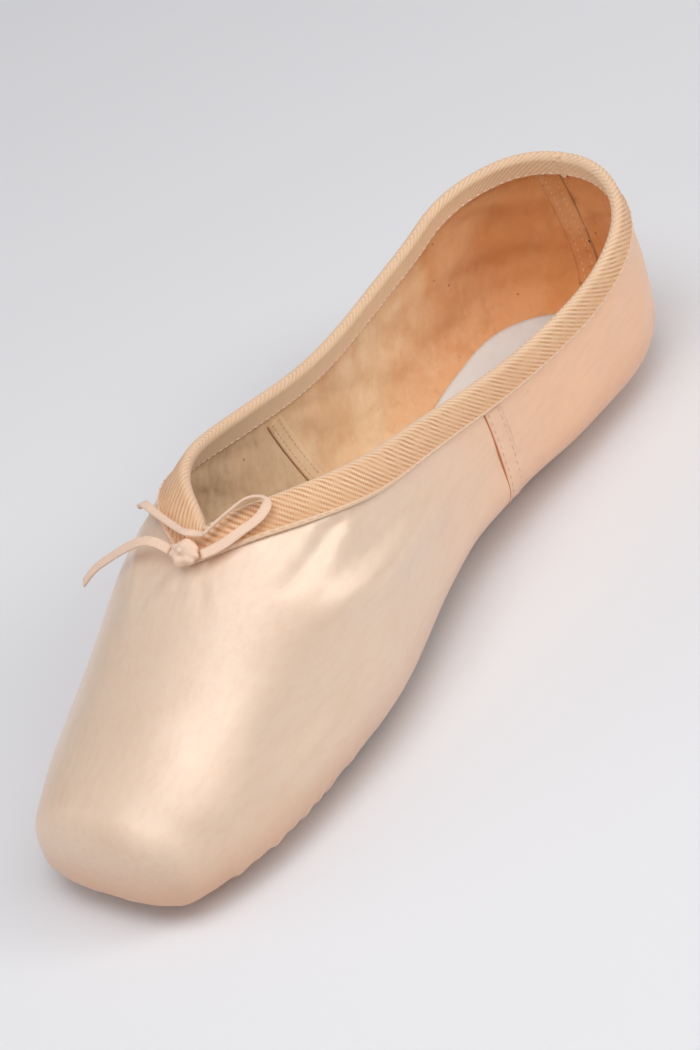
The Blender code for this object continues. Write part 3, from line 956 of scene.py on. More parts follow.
@dataclass(frozen=True)
class LeatherFinish:
    """Brown sole leather, scored in a lattice under the forefoot, with a pale cut edge."""

    brown: Colour = tint(140, 88, 60)
    dark: Colour = tint(104, 66, 46)
    score: Colour = tint(58, 38, 28)
    edge: Colour = tint(206, 160, 112)
    lattice: tuple[tuple[float, float, float], ...] = ((38.0, 0.0086, 0.0016), (-47.0, 0.0062, 0.0021))

    def lines(self, g: Graph, turn: float, spacing: float, shift: float) -> bpy.types.NodeSocket:
        """Thin parallel lines: 1 on a line and 0 between, by the distance to the nearest.

        Args:
            g: the material's nodes.
            turn: the lines' direction, in degrees.
            spacing: distance between two lines.
            shift: how far they are moved sideways.

        Returns:
            The lines.
        """
        split = g.add("ShaderNodeSeparateXYZ", {0: g.place((1, 1, 1), (0, 0, math.radians(turn)))})
        wander = g.math("MULTIPLY", g.noise(g.place(), 25, 1, 0.5), 0.0016)
        place = g.math("ADD", g.math("ADD", split.outputs[0], shift), wander)
        cell = g.math("PINGPONG", place, spacing / 2)
        return g.between(cell, 0.00052, 0.00022)

    def make(self) -> bpy.types.Material:
        """Mottled leather, two families of scored lines, and the edge's own tone.

        Returns:
            The material.
        """
        g = Graph("brown_sole_leather", 0.55, Specular_IOR_Level=0.35)
        where = g.place()
        mottle = g.between(g.noise(where, 45, 4, 0.6), 0.35, 0.7)
        colour = g.mix(mottle, self.brown, self.dark)
        y = g.axis(1)
        forefoot = g.math("MULTIPLY", g.between(y, -0.089, -0.086), g.between(y, -0.010, -0.013))
        scored = g.math("MAXIMUM", *(self.lines(g, *family) for family in self.lattice))
        scored = g.math("MULTIPLY", scored, forefoot)
        colour = g.mix(scored, colour, self.score)
        edge = g.add("ShaderNodeAttribute", attribute_name="edge").outputs["Fac"]
        colour = g.mix(g.between(edge, 0.35, 0.8), colour, self.edge)
        grain = g.noise(where, 1300, 3, 0.6)
        normal = g.bump(g.math("SUBTRACT", 1.0, scored), 0.0004, 0.9)
        normal = g.bump(grain, 0.00008, 0.4, normal)
        return g.wire(Base_Color=colour, Normal=normal)


@dataclass(frozen=True)
class SockFinish:
    """Greyish white sock lining: a smooth felt with faint creases."""

    white: Colour = tint(234, 234, 230)
    grey: Colour = tint(204, 201, 194)

    def make(self) -> bpy.types.Material:
        """Cloudy greys with a felt's fine bump.

        Returns:
            The material.
        """
        g = Graph("sock_felt", 0.9, Specular_IOR_Level=0.2, Sheen_Weight=0.15)
        where = g.place()
        cloud = g.between(g.noise(where, 60, 4, 0.6), 0.4, 0.75)
        colour = g.mix(g.math("MULTIPLY", cloud, 0.6), self.white, self.grey)
        return g.wire(Base_Color=colour, Normal=g.bump(g.noise(where, 1400, 3, 0.7), 0.00012, 0.5))


@dataclass(frozen=True)
class CordFinish:
    """Flat cotton cord or sewing thread, in one tone with fine strands along its length."""

    name: str
    tone: Colour
    shade: Colour
    strand: float = 0.0006

    def make(self) -> bpy.types.Material:
        """Strands by UV, with a darker tone between them.

        Returns:
            The material.
        """
        g = Graph(self.name, 0.78, Specular_IOR_Level=0.3, Sheen_Weight=0.25)
        u, v = g.cloth()
        weave = g.waves(g.math("ADD", u, v), self.strand)
        fuzz = g.noise(g.place(), 1500, 2, 0.6)
        height = g.math("ADD", g.math("MULTIPLY", weave, 0.6), g.math("MULTIPLY", fuzz, 0.4))
        colour = g.mix(g.between(height, 0.2, 0.6), self.shade, self.tone)
        return g.wire(Base_Color=colour, Normal=g.bump(height, 0.0001, 0.7))


@dataclass(frozen=True)
class Finishes:
    """Every material of the shoe."""

    satin: bpy.types.Material
    tan_lining: bpy.types.Material
    canvas: bpy.types.Material
    twill: bpy.types.Material
    leather: bpy.types.Material
    sock: bpy.types.Material
    cord: bpy.types.Material
    thread: bpy.types.Material
    seam: bpy.types.Material
    dark: bpy.types.Material

    @classmethod
    def make(cls) -> "Finishes":
        """Build them all.

        Returns:
            The finishes.
        """
        return cls(
            satin=SatinFinish().make(),
            tan_lining=LiningFinish("tan_quarter_lining", tint(254, 226, 186), tint(226, 160, 102)).make(),
            canvas=LiningFinish("cream_vamp_canvas", tint(246, 218, 182), tint(212, 170, 126)).make(),
            twill=TwillFinish().make(),
            leather=LeatherFinish().make(),
            sock=SockFinish().make(),
            cord=CordFinish("peach_cotton_cord", tint(252, 224, 200), tint(240, 194, 162), 0.0004).make(),
            thread=CordFinish("pale_thread", tint(252, 222, 196), tint(240, 198, 166), 0.0004).make(),
            seam=CordFinish("orange_seam_thread", tint(216, 134, 88), tint(190, 108, 66), 0.0004).make(),
            dark=CordFinish("lining_seam_edge", tint(196, 148, 102), tint(170, 120, 78), 0.0004).make(),
        )


# Folds of the satin


MILLIMETRE = 0.001


@dataclass(frozen=True)
class Fold:
    """A soft trough or ridge along a route over the upper, all in millimetres."""

    height: float
    width: float
    route: tuple[Point, ...]
    steps = 90
    reach = 4.0

    def relief(self, points: np.ndarray) -> np.ndarray:
        """Bell of the distance to the route, fading toward the route's two ends.

        Args:
            points: places on the surface, in metres.

        Returns:
            How far each point moves out, in metres.
        """
        path = smooth_path(MILLIMETRE * np.array(self.route), self.steps)
        width = MILLIMETRE * self.width
        reach = self.reach * width
        near = ((points > path.min(0) - reach) & (points < path.max(0) + reach)).all(-1)
        square = ((points[near][:, None] - path) ** 2).sum(-1)
        fade = np.sin(np.pi * np.clip(np.linspace(0, 1, len(path)), 0.02, 0.98)) ** 0.8
        found = np.zeros(points.shape[:-1])
        found[near] = (np.exp(-square / width ** 2) * fade).max(-1)
        return MILLIMETRE * self.height * found


# Each fold's height, width and route; the ones with x above 0 are on the side that the camera sees.
VAMP_FOLDS = (
    Fold(1.7, 5.0, ((27.4, 10.2, 33.5), (28.5, -4.1, 35.8), (30.6, -20.7, 38.3), (32.2, -34.4, 40.0),
                    (31.6, -47.7, 42.6), (29.5, -58.0, 44.0))),
    Fold(-0.9, 4.5, ((27.6, 2.0, 42.5), (29.1, -17.9, 45.5), (29.8, -27.0, 47.0), (30.0, -42.0, 48.0),
                     (28.0, -50.0, 49.0))),
    Fold(-0.8, 2.8, ((25.3, -30.0, 56.5), (25.4, -40.3, 55.4), (25.0, -48.1, 54.0), (23.7, -54.1, 52.9),
                     (21.2, -57.9, 52.9))),
    Fold(-2.0, 7.5, ((34.9, -42.0, 36.5), (35.1, -57.2, 32.7), (33.4, -69.3, 29.6), (31.7, -79.2, 27.3),
                     (30.5, -89.3, 24.1), (29.3, -97.1, 21.5))),
    Fold(0.8, 6.0, ((36.6, -46.0, 24.0), (36.4, -62.0, 21.0), (35.0, -74.0, 19.0), (33.0, -86.0, 17.0))),
    Fold(-0.40, 3.6, ((-8.0, -112.0, 30.5), (0.7, -112.5, 30.5), (7.6, -112.0, 30.0), (14.1, -111.5, 28.0),
                      (20.7, -110.5, 24.0), (25.8, -108.0, 19.5), (29.2, -100.1, 18.9), (31.9, -91.1, 19.2))),
    Fold(1.0, 5.0, ((-27.4, 8.1, 35.0), (-28.0, -4.7, 38.8), (-29.0, -16.6, 43.0), (-27.4, -31.8, 51.2),
                    (-23.6, -42.2, 55.0))),
    Fold(-1.1, 4.0, ((-27.6, 7.0, 33.4), (-28.8, -6.5, 36.4), (-30.4, -20.5, 41.0), (-30.0, -34.0, 48.0),
                     (-27.6, -46.0, 51.0))),
    Fold(-0.8, 5.0, ((-32.4, -24.0, 34.0), (-33.4, -42.0, 38.5), (-32.6, -56.0, 38.0), (-31.8, -68.0, 34.0))),
    Fold(0.7, 3.0, ((-24.5, -47.0, 54.5), (-20.0, -54.0, 54.8), (-16.5, -62.0, 52.5), (-15.0, -70.0, 49.5))),
)
THROAT_FOLDS = tuple(
    Fold(height, 1.3, ((x, -62.5, 57.0), (1.35 * x, -66.0, 55.2), (1.7 * x, y, z)))
    for height, x, y, z in ((0.34, -9.0, -70.5, 51.0), (-0.25, -6.2, -68.0, 52.9), (0.20, -3.8, -69.5, 52.8),
                            (-0.16, -1.2, -68.0, 53.8), (0.16, 1.6, -71.0, 52.8), (-0.24, 4.4, -74.0, 51.7),
                            (0.18, 7.0, -69.0, 52.8), (-0.14, 9.4, -68.0, 52.0))
)


@dataclass(frozen=True)
class Pleats:
    """Folds of cloth gathered under the toe and drawn in beneath the sole's edge.

    Each pleat lies along a line from the sole's edge up round the platform, by its share of the
    edge. Columns: share, height in mm, width as a share, reach up the line in mm. Over the pleats
    the cloth also lies a little lower, by the sink.
    """

    sink: float = 0.0004
    sink_reach: float = 0.02
    one_sided: float = 2.6
    rows: tuple[tuple[float, float, float, float], ...] = (
        (0.700, 0.35, 0.0060, 15), (0.735, 0.50, 0.0065, 19), (0.768, 0.60, 0.0070, 22),
        (0.788, 0.55, 0.0085, 21), (0.811, 0.80, 0.0095, 25), (0.830, 0.65, 0.0070, 23),
        (0.853, 1.15, 0.0095, 30), (0.873, 0.85, 0.0070, 27), (0.894, 1.55, 0.0095, 36),
        (0.914, 1.10, 0.0075, 31), (0.938, 1.65, 0.0095, 38), (0.960, 1.20, 0.0075, 32),
        (0.984, 1.45, 0.0090, 36),
    )

    def relief(self, share: np.ndarray, run: np.ndarray, start: float) -> np.ndarray:
        """Sum of one-sided bells over the share, tallest near the sole and gone at the reach.

        Args:
            share: each point's share of the edge.
            run: each point's distance up its line.
            start: distance at which the cloth comes out from under the sole.

        Returns:
            Height of the pleats in metres.
        """
        total = np.zeros(run.shape)
        for centre, height, width, reach in self.rows:
            across = (share - centre - 0.0006 * np.sin(run * 400)) / width
            bell = np.exp(-np.where(across > 0, across * self.one_sided, across) ** 2)
            fade = smooth((run - start) / 0.0025) * smooth(1 - (run - start) / (MILLIMETRE * reach))
            total += MILLIMETRE * height * bell * fade ** 1.2
        near_toe = smooth((share - 0.68) / 0.05)
        return total - self.sink * near_toe * smooth(1 - (run - start) / self.sink_reach)


# Pieces


TOE_SHARE = 0.7


def finer(side_columns: int, at_toe: int = 0) -> np.ndarray:
    """Shares of the opening's edge for a piece's lines.

    Args:
        side_columns: columns on one side.
        at_toe: how many of them lie past the toe's share, where they may be closer together.

    Returns:
        Shares from 0 at the heel to 1 at the toe.
    """
    if not at_toe:
        return np.linspace(0, 1, side_columns + 1)
    behind = np.linspace(0, TOE_SHARE, side_columns - at_toe, endpoint=False)
    return np.append(behind, np.linspace(TOE_SHARE, 1.0, at_toe + 1))


def ripple(turn: np.ndarray, waves: int, wander: float, slow: int) -> np.ndarray:
    """Uneven ripple round a closed line, the same at its start and end.

    Args:
        turn: angle of each point round the line.
        waves: how many waves there are.
        wander: how far they bunch together.
        slow: how many times they bunch.

    Returns:
        A column of numbers from -1 to 1.
    """
    return np.sin(waves * turn + wander * np.sin(slow * turn))[:, None]


@dataclass
class Upper:
    """The satin outside and the two linings inside, as one closed wall."""

    last: Last
    finishes: Finishes
    side_columns: int = 242
    toe_columns: int = 140
    outer_rows: int = 132
    inner_rows: int = 60
    rumple: float = 0.00016
    pucker: float = 0.00013
    slack: float = 0.00055
    uv_width: float = 0.52
    uv_height: float = 0.075
    base_points: np.ndarray = field(init=False)
    out: np.ndarray = field(init=False)
    outer_run: np.ndarray = field(init=False)
    top_run: np.ndarray = field(init=False)

    def outside(self, lines: Meridians) -> np.ndarray:
        """Outer rows by distance up each line, and the folds as a relief along the normals.

        Args:
            lines: the lines that the columns follow.

        Returns:
            Points of the outer surface, both sides.
        """
        last = self.last
        top = lines.total[:, None]
        low = np.broadcast_to([0.0, 0.5 * last.flange], (len(top), 2))
        free = last.flange + (top - last.tape_drop - last.flange) * np.linspace(0, 1, self.outer_rows - 5)
        high = top - last.tape_drop * np.array([[0.6, 0.3, 0.0]])
        run = np.concatenate([low, free, high], 1)
        side = lines.points(run)
        self.base_points = both_sides(side)
        self.out = both_sides(last.normals(side))
        self.outer_run = both_sides(run[..., None])[..., 0]
        self.top_run = both_sides(top[..., None])[..., 0]
        share = both_sides(np.broadcast_to(lines.shares[:, None], run.shape)[..., None])[..., 0]
        relief = sum(fold.relief(self.base_points) for fold in (*VAMP_FOLDS, *THROAT_FOLDS))
        y, z = self.base_points[..., 1], self.base_points[..., 2]
        relief += self.rumple * np.sin(y * 210 + 3 * np.sin(z * 120)) * smooth((y + 0.02) / 0.04)
        below_tape = self.top_run - last.tape_drop - self.outer_run
        rim = self.base_points[:, -1]
        around = distances(np.append(rim, rim[:1], 0))
        turn = around[1:] * math.tau / around[-1]
        relief += self.pucker * ripple(turn, 70, 2.2, 7) * np.exp(-below_tape / 0.005)
        relief *= smooth((self.outer_run - last.flange) / 0.006) * smooth(below_tape / 0.0025)
        relief += Pleats().relief(share, self.outer_run, last.flange) * smooth(below_tape / 0.01)
        return self.base_points + relief[..., None] * self.out

    def inside(self) -> np.ndarray:
        """Inner rows, from the rim down: the outer surface drawn in by the wall, slightly slack.

        Returns:
            Points of the inner surface, both sides.
        """
        rows = np.unique(np.linspace(0, self.outer_rows - 1, self.inner_rows).round().astype(int))[::-1]
        base, out = self.base_points[:, rows], self.out[:, rows]
        y, z = base[..., 1], base[..., 2]
        slack = self.slack * np.sin(y * 125 + 2.5 * np.sin(z * 140 + y * 60)) * np.sin(z * 190 + 60 * y)
        top = (self.top_run - self.outer_run[:, rows] - self.last.tape_drop) / 0.004
        side_gap = np.abs(y - self.last.lining_seam(z) - 0.0028)
        heel_gap = np.where(y > 0.08, np.abs(base[..., 0] + 0.004), 1.0)
        slack = slack * smooth((np.minimum(side_gap, heel_gap) - 0.0035) / 0.006)
        slack = slack * smooth(top) * smooth((self.outer_run[:, rows] - self.last.flange) / 0.004)
        return base - (self.last.wall(base) + slack)[..., None] * out

    def build(self) -> bpy.types.Object:
        """Join both layers into a closed ring and give each face its cloth.

        Returns:
            The upper.
        """
        lines = Meridians(self.last, finer(self.side_columns, self.toe_columns))
        outer = self.outside(lines)
        inner = self.inside()
        section = np.concatenate([outer, inner], 1)
        columns, rows = section.shape[:2]
        faces, cell = ring_faces(columns, rows)
        around = np.linspace(0, self.uv_width, columns + 1)
        heights = np.append(np.linspace(0, self.uv_height, self.outer_rows),
                            np.linspace(self.uv_height, 2 * self.uv_height, rows + 1 - self.outer_rows))
        corners = np.stack([around[cell[..., 0]], heights[cell[..., 1]]], -1)
        inside_face = cell[:, 0, 1] >= self.outer_rows - 1
        middle = section.reshape(-1, 3)[faces].mean(1)
        forward = middle[:, 1] < self.last.lining_seam(middle[:, 2])
        slots = np.where(inside_face, np.where(forward, 2, 1), 0)
        materials = [self.finishes.satin, self.finishes.tan_lining, self.finishes.canvas]
        piece = new_object("satin_upper", section.reshape(-1, 3), faces, materials, corners, slots)
        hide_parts("upper")
        return piece


@dataclass
class Binding:
    """Herringbone tape folded over the rim, round at the fold and pale along its lower edge."""

    last: Last
    finishes: Finishes
    side_columns: int = 300
    thickness: float = 0.0006
    bead: float = 0.00004
    leg_rows: int = 14
    fold_rows: int = 13
    fold_arc: tuple[float, float] = (-4, 184)
    fold_sink: float = 0.0004
    wave: float = 0.00008
    lip: tuple[float, ...] = (0.00012, 0.00030, 0.00022)
    edges: dict[str, tuple[np.ndarray, np.ndarray]] = field(init=False)

    def build(self) -> bpy.types.Object:
        """Section: outer leg up, round fold over the rim, inner leg down, then back inside the tape.

        Returns:
            The binding; its two stitched edges are kept, each a path and its normals.
        """
        last = self.last
        lines = Meridians(last, finer(self.side_columns))
        run = lines.total[:, None] - last.drop(lines.shares)[:, None] * np.linspace(1.0, 0.0, self.leg_rows)
        side = lines.points(run)
        points, out = both_sides(side), both_sides(last.normals(side))
        wall = last.wall(points)[..., None]
        rim, way = points[:, -1], out[:, -1]
        up = unit(rim - points[:, -3])
        near = last.clearance
        far = near + self.thickness
        length = distances(np.append(rim, rim[:1], 0))
        turn = length[:-1] * math.tau / length[-1]
        wave = self.wave * ripple(turn, 95, 1.7, 9)
        lift = np.append(self.lip, np.zeros(10 - len(self.lip)))
        outer = [points[:, row] + (far + wave + lift[row]) * out[:, row] for row in range(10)]
        inner = [points[:, row] - (wall[:, row] + far) * out[:, row] for row in range(11, 1, -1)]
        radius = 0.5 * wall[:, -1] + far + self.bead
        centre = rim - 0.5 * wall[:, -1] * way - self.fold_sink * up
        turns = np.radians(np.linspace(*self.fold_arc, self.fold_rows))
        fold = [centre + radius * (math.cos(t) * way + 1.02 * math.sin(t) * up) for t in turns]
        hidden_in = [points[:, row] - (wall[:, row] + near) * out[:, row] for row in (2, 7, 13)]
        ridge = rim - 0.5 * wall[:, -1] * way + near * up
        hidden_out = [points[:, row] + near * out[:, row] for row in (13, 8, 4, 0)]
        section = np.stack([*outer, *fold, *inner, *hidden_in, ridge, *hidden_out], 1)
        columns, rows = section.shape[:2]
        faces, cell = ring_faces(columns, rows)
        visible = len(outer) + len(fold) + len(inner)
        across = np.zeros(rows + 1)
        step = np.linalg.norm(np.diff(section[columns // 8, :visible], axis=0), axis=1)
        middle = len(outer) + len(fold) // 2
        across[:visible] = np.append(0, np.cumsum(step))
        across[:visible] -= across[middle]
        corners = np.stack([length[cell[..., 0]], across[cell[..., 1]]], -1)
        piece = new_object("tape_binding", section.reshape(-1, 3), faces, [self.finishes.twill], corners)
        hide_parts("collar_binding")
        self.edges = {"binding_stitches": (outer[1] + 0.00002 * out[:, 1], out[:, 1]),
                      "binding_inner_stitches": (inner[-2], -out[:, 4])}
        return piece


@dataclass
class Stitching:
    """Rows of short stitches: each a bent capsule that dips into the cloth at both ends."""

    length: float = 0.0015
    gap: float = 0.0009
    thread: float = 0.00018
    rings: int = 5
    sides: int = 6

    def row(self, path: np.ndarray, out: np.ndarray) -> np.ndarray:
        """Capsules laid end to end along a path.

        Args:
            path: points of the line, in order.
            out: normals of the cloth there.

        Returns:
            Rings of every stitch, stitch by ring by corner by three.
        """
        run = distances(path)
        starts = np.arange(0.5 * self.gap, run[-1] - self.length, self.length + self.gap)
        share = np.linspace(0, 1, self.rings)
        at = starts[:, None] + self.length * share
        place = np.stack([np.interp(at, run, path[:, k]) for k in range(3)], -1)
        normal = unit(np.stack([np.interp(at, run, out[:, k]) for k in range(3)], -1))
        way = unit(np.gradient(place, axis=1))
        side = unit(np.cross(way, normal))
        arch = np.sin(np.pi * share)
        place = place + (self.thread * (0.75 * arch - 0.35))[:, None] * normal
        radius = self.thread * (0.35 + 0.65 * np.sqrt(arch))[None, :, None, None]
        turn = np.linspace(0, math.tau, self.sides, endpoint=False)[:, None]
        ring = np.cos(turn) * side[:, :, None] + np.sin(turn) * normal[:, :, None]
        return place[:, :, None] + radius * ring

    def build(self, name: str, rows: Sequence[tuple[np.ndarray, np.ndarray]],
              finish: bpy.types.Material, slot: str) -> bpy.types.Object:
        """Make one object of several rows.

        Args:
            name: the piece's name.
            rows: each row's path and normals.
            finish: the material.
            slot: the record's material slot; not used.

        Returns:
            The stitches.
        """
        rings = np.concatenate([self.row(path, out) for path, out in rows])
        lengths = np.linspace(0, self.length, self.rings)
        return tubes(name, rings, finish, 0.0015, lengths)


@dataclass
class Bands:
    """Flat bands of satin over the seams: one down the heel and one down each side."""

    last: Last
    finishes: Finishes
    stitching: Stitching
    heel_width: float = 0.0130
    heel_lift: float = 0.0005
    side_front: float = 0.0252
    side_width: float = 0.0062
    side_lift: float = 0.00014
    side_drop: float = 0.0045
    sunk: float = 0.00005
    felled_width: float = 0.0056
    felled_lift: float = 0.00016
    heel_seam_lean: float = 0.134167
    seam_thread: tuple[float, float] = (0.00026, 0.00016)

    def strip(self, name: str, points: np.ndarray, out: np.ndarray, lift: float,
              finish: bpy.types.Material) -> bpy.types.Object:
        """Closed strip over a grid of surface points, rounded at its long edges.

        Args:
            name: the piece's name.
            points: surface points, across by along.
            out: their normals.
            lift: height of the top over the surface.
            finish: the material.

        Returns:
            The strip's object.
        """
        count = len(points)
        edge = 0.3 + 0.7 * np.sin(np.pi * np.linspace(0, 1, count)) ** 0.5
        low = points - self.sunk * out
        top = points + (self.sunk + lift * edge)[:, None, None] * out
        rings = np.concatenate([top, low[::-1]], 0).swapaxes(0, 1)
        return tubes(name, rings[None], finish, 0.03, distances(points[count // 2]))

    def heel(self) -> list[bpy.types.Object]:
        """The strip down the back, with two rows of stitches.

        Returns:
            Both pieces.
        """
        last = self.last
        rim = last.rim(np.linspace(0, 1, 400))
        rim_length = np.linalg.norm(np.diff(rim, axis=0), axis=1).sum()
        edge = np.interp(0.5 * self.heel_width / rim_length, PAIRS.cells[:, 1], PAIRS.cells[:, 0])
        lines = Meridians(last, np.append(np.linspace(0, edge, 9), 1.0))
        low, high = last.flange + last.clearance, lines.total - last.heel_drop - last.clearance
        side = lines.points(np.linspace(low, high, 60, axis=1))[:9]
        points = np.concatenate([side[:0:-1] * [-1, 1, 1], side])
        out = last.normals(points)
        piece = self.strip("heel_band", points, out, self.heel_lift, self.finishes.satin)
        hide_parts("heel_strip")
        lift = self.heel_lift + self.sunk
        rows = [(points[k] + lift * out[k], out[k]) for k in (3, 13)]
        stitches = self.stitching.build("heel_stitches", rows, self.finishes.thread, "satin")
        return [piece, stitches]

    def polar(self, sign: int, across: int = 12) -> tuple[np.ndarray, np.ndarray]:
        """Grid over a side band, from under the tape down to the sole, by rays from the spine.

        Args:
            sign: +1 for the +X side and -1 for the other.
            across: number of columns.

        Returns:
            Points across by along, and their normals.
        """
        last = self.last
        rim = last.rim(np.linspace(0.25, 0.85, 500))
        y = np.linspace(self.side_front, self.side_front + self.side_width, across)
        along = 0.5 - y / last.length
        origin = last.spine(along)
        rim_x, rim_z = (np.interp(-y, -rim[:, 1], rim[:, axis]) for axis in (0, 2))
        drop = last.tape_drop - self.side_drop
        high = np.arctan2(rim_z - drop - origin[:, 2], rim_x + 0.004)
        half = last.outline_half(along, 0.0) + 0.0004
        under = last.sole_top + last.height(along) * SECTIONS.column("underside", along)
        low = np.arctan2(under - origin[:, 2], half)
        angle = np.linspace(high, low, 70, axis=1)
        way = np.stack([sign * np.cos(angle), np.zeros_like(angle), np.sin(angle)], -1)
        points = last.shoot(np.broadcast_to(origin[:, None], way.shape), way)
        return points, last.normals(points)

    def sides(self) -> list[bpy.types.Object]:
        """A band on each side, its stitches, and the dark seam at its front edge.

        Returns:
            The pieces of both sides.
        """
        made = []
        for sign, side in ((1, "near"), (-1, "far")):
            points, out = self.polar(sign)
            piece = self.strip(f"side_band_{side}", points, out, self.side_lift, self.finishes.satin)
            made.append(piece)
            lift = self.side_lift + self.sunk
            rows = [(points[k] + lift * out[k], out[k]) for k in (2, 9)]
            made.append(self.stitching.build(f"side_stitches_{side}", rows, self.finishes.thread, "satin"))
            front = points[0] + 0.00004 * out[0] - [0, 0.0002, 0]
            made.append(self.ditch(f"side_seam_{side}", front, out[0], self.finishes.seam))
        return made

    def linings(self) -> list[bpy.types.Object]:
        """Flat felled seams inside: a slanted one on each side and one down the heel.

        Returns:
            The pieces of the three seams.
        """
        last = self.last
        made = []
        for sign, side in ((1, "near"), (-1, "far")):
            z = np.linspace(0.0446, 0.0065, 50)
            y = last.lining_seam(z) + np.linspace(0.0, self.felled_width, 8)[:, None]
            origin = np.stack([np.zeros_like(y), y, np.broadcast_to(z, y.shape)], -1)
            points = last.shoot(origin, np.broadcast_to([float(sign), 0.0, 0.0], origin.shape))
            made += self.inner_strip(f"lining_seam_{side}", points)
        z = np.linspace(0.0492, 0.0100, 46)
        x = self.heel_seam_lean * (0.0400 - z) - 0.0010 - np.linspace(0.0, 0.0075, 8)[:, None]
        origin = np.stack([x, np.full_like(x, 0.088), np.broadcast_to(z, x.shape)], -1)
        points = last.shoot(origin, np.broadcast_to([0.0, 1.0, 0.0], origin.shape))
        return made + self.inner_strip("lining_seam_heel", points)

    def inner_strip(self, name: str, points: np.ndarray) -> list[bpy.types.Object]:
        """A thin band on the lining with a dark line at its first edge and two rows of stitches.

        Args:
            name: the band's name.
            points: points of the outer surface behind the band, across by along.

        Returns:
            The band, its line and its stitches.
        """
        out = self.last.normals(points)
        wall = self.last.wall(points)[..., None]
        inner = points - wall * out
        band = self.strip(name, inner, -out, self.felled_lift, self.finishes.tan_lining)
        line = self.ditch(f"{name}_line", inner[0] - 0.00006 * out[0], -out[0], self.finishes.dark)
        rows = [(inner[k] - 0.00020 * out[k], -out[k]) for k in (2, 5)]
        small = Stitching(length=0.0011, thread=0.00016)
        return [band, line, small.build(f"{name}_stitches", rows, self.finishes.thread, "satin")]

    def ditch(self, name: str, path: np.ndarray, out: np.ndarray,
              finish: bpy.types.Material) -> bpy.types.Object:
        """A thin dark thread lying in the seam: an oval tube along the path.

        Args:
            name: the piece's name.
            path: points of the seam.
            out: normals of the cloth there.
            finish: the material.

        Returns:
            The thread.
        """
        way = unit(np.gradient(path, axis=0))
        side = unit(np.cross(way, out))
        turn = np.linspace(0, math.tau, 8, endpoint=False)[:, None]
        wide, tall = self.seam_thread
        ring = wide * np.cos(turn) * side[:, None] + tall * np.sin(turn) * out[:, None]
        return tubes(name, (path[:, None] + ring)[None], finish, 0.0015, distances(path))


@dataclass
class Soles:
    """The leather outsole and the sock lining, each a slab that follows the upper's underside."""

    last: Last
    finishes: Finishes
    side_columns: int = 150
    worn: float = 0.0005
    skive: float = 0.0008
    round_edge: float = 0.00018
    insole_thickness: float = 0.0020
    crease: float = 0.00025
    inner_rows: int = 9
    outer_rows: int = 6

    def rows(self) -> tuple[np.ndarray, np.ndarray]:
        """Rows of the underside from its middle line out to the sole's edge.

        Returns:
            Points, and their normals.
        """
        last = self.last
        lines = Meridians(last, finer(self.side_columns))
        run = last.flange * np.linspace(0, 1, self.outer_rows)
        side = lines.points(np.broadcast_to(run, (len(lines.shares), self.outer_rows)))
        first = side[:, 0]
        ends = 0.5 - np.array([last.outline_to - last.outline_toe_round,
                               last.outline_from + last.outline_heel_round])
        middle = first * [0, 1, 0]
        middle[:, 1] = np.clip(first[:, 1], *(ends * last.length))
        share = np.linspace(0, 1, self.inner_rows)[:, None]
        edge = first - last.clearance * unit(first - middle)
        origin = middle[:, None] * (1 - share) + edge[:, None] * share
        origin[..., 2] = last.spine(0.5 - origin[..., 1] / last.length)[..., 2]
        under = last.shoot(origin, np.broadcast_to([0.0, 0.0, -1.0], origin.shape))
        points = both_sides(np.concatenate([under, side], 1))
        return points, last.normals(points)

    def slab(self, name: str, low: np.ndarray, top: np.ndarray, finish: bpy.types.Material,
             layers: dict[str, np.ndarray] | None = None) -> bpy.types.Object:
        """Closed slab between two grids, joined at their outer edges.

        Args:
            name: the piece's name.
            low: the lower grid, columns by rows.
            top: the upper grid.
            finish: the material.
            layers: named numbers at each vertex.

        Returns:
            The slab.
        """
        section = np.concatenate([low, top[:, ::-1]], 1)
        faces, _ = ring_faces(*section.shape[:2], closed=False)
        corners = section.reshape(-1, 3)[faces][..., :2]
        return new_object(name, section.reshape(-1, 3), faces, [finish], corners, layers=layers,
                          weld=True)

    def build(self) -> list[bpy.types.Object]:
        """Outsole with a rounded, skived edge, and sock lining with soft creases.

        Returns:
            Both slabs.
        """
        last = self.last
        points, out = self.rows()
        top = points + last.clearance * out
        low = top.copy()
        low[..., 2] -= last.sole_thickness
        inward = unit((low[:, -2] - low[:, -1]) * [1, 1, 0])
        low[:, -1] += self.skive * inward
        low[..., 2] = np.maximum(low[..., 2] - self.worn, 0)
        side = 0.45 * low[:, -1:] + 0.55 * top[:, -1:] - self.round_edge * inward[:, None]
        low = np.concatenate([low, side], 1)
        edge = np.zeros((len(low), low.shape[1] + top.shape[1]))
        edge[:, low.shape[1] - 1:low.shape[1] + 1] = 1.0
        outsole = self.slab("leather_sole", low, top, self.finishes.leather, {"edge": edge})
        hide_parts("outsole")
        lift = (last.wall(points) + last.clearance)[..., None]
        raised = points - lift * out
        flat = self.inner_rows
        board = np.concatenate([points[:, :flat], raised[:, flat - 1:flat], raised[:, flat + 1:]], 1)
        crease = self.crease * np.sin(raised[..., 1] * 260 + 2 * np.sin(raised[..., 0] * 150))
        crease = crease * np.sin(raised[..., 0] * 90 + 1.0)
        cover = raised - (self.insole_thickness + crease)[..., None] * out
        cover = np.concatenate([cover[:, :flat], cover[:, flat - 1:flat], cover[:, flat + 1:]], 1)
        insole = self.slab("sock_cover", board, cover, self.finishes.sock)
        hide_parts("insole")
        return [outsole, insole]


class FarEnd(Enum):
    """What is at a stretch's far end."""

    BARE = "bare"
    KNOT = "knot"


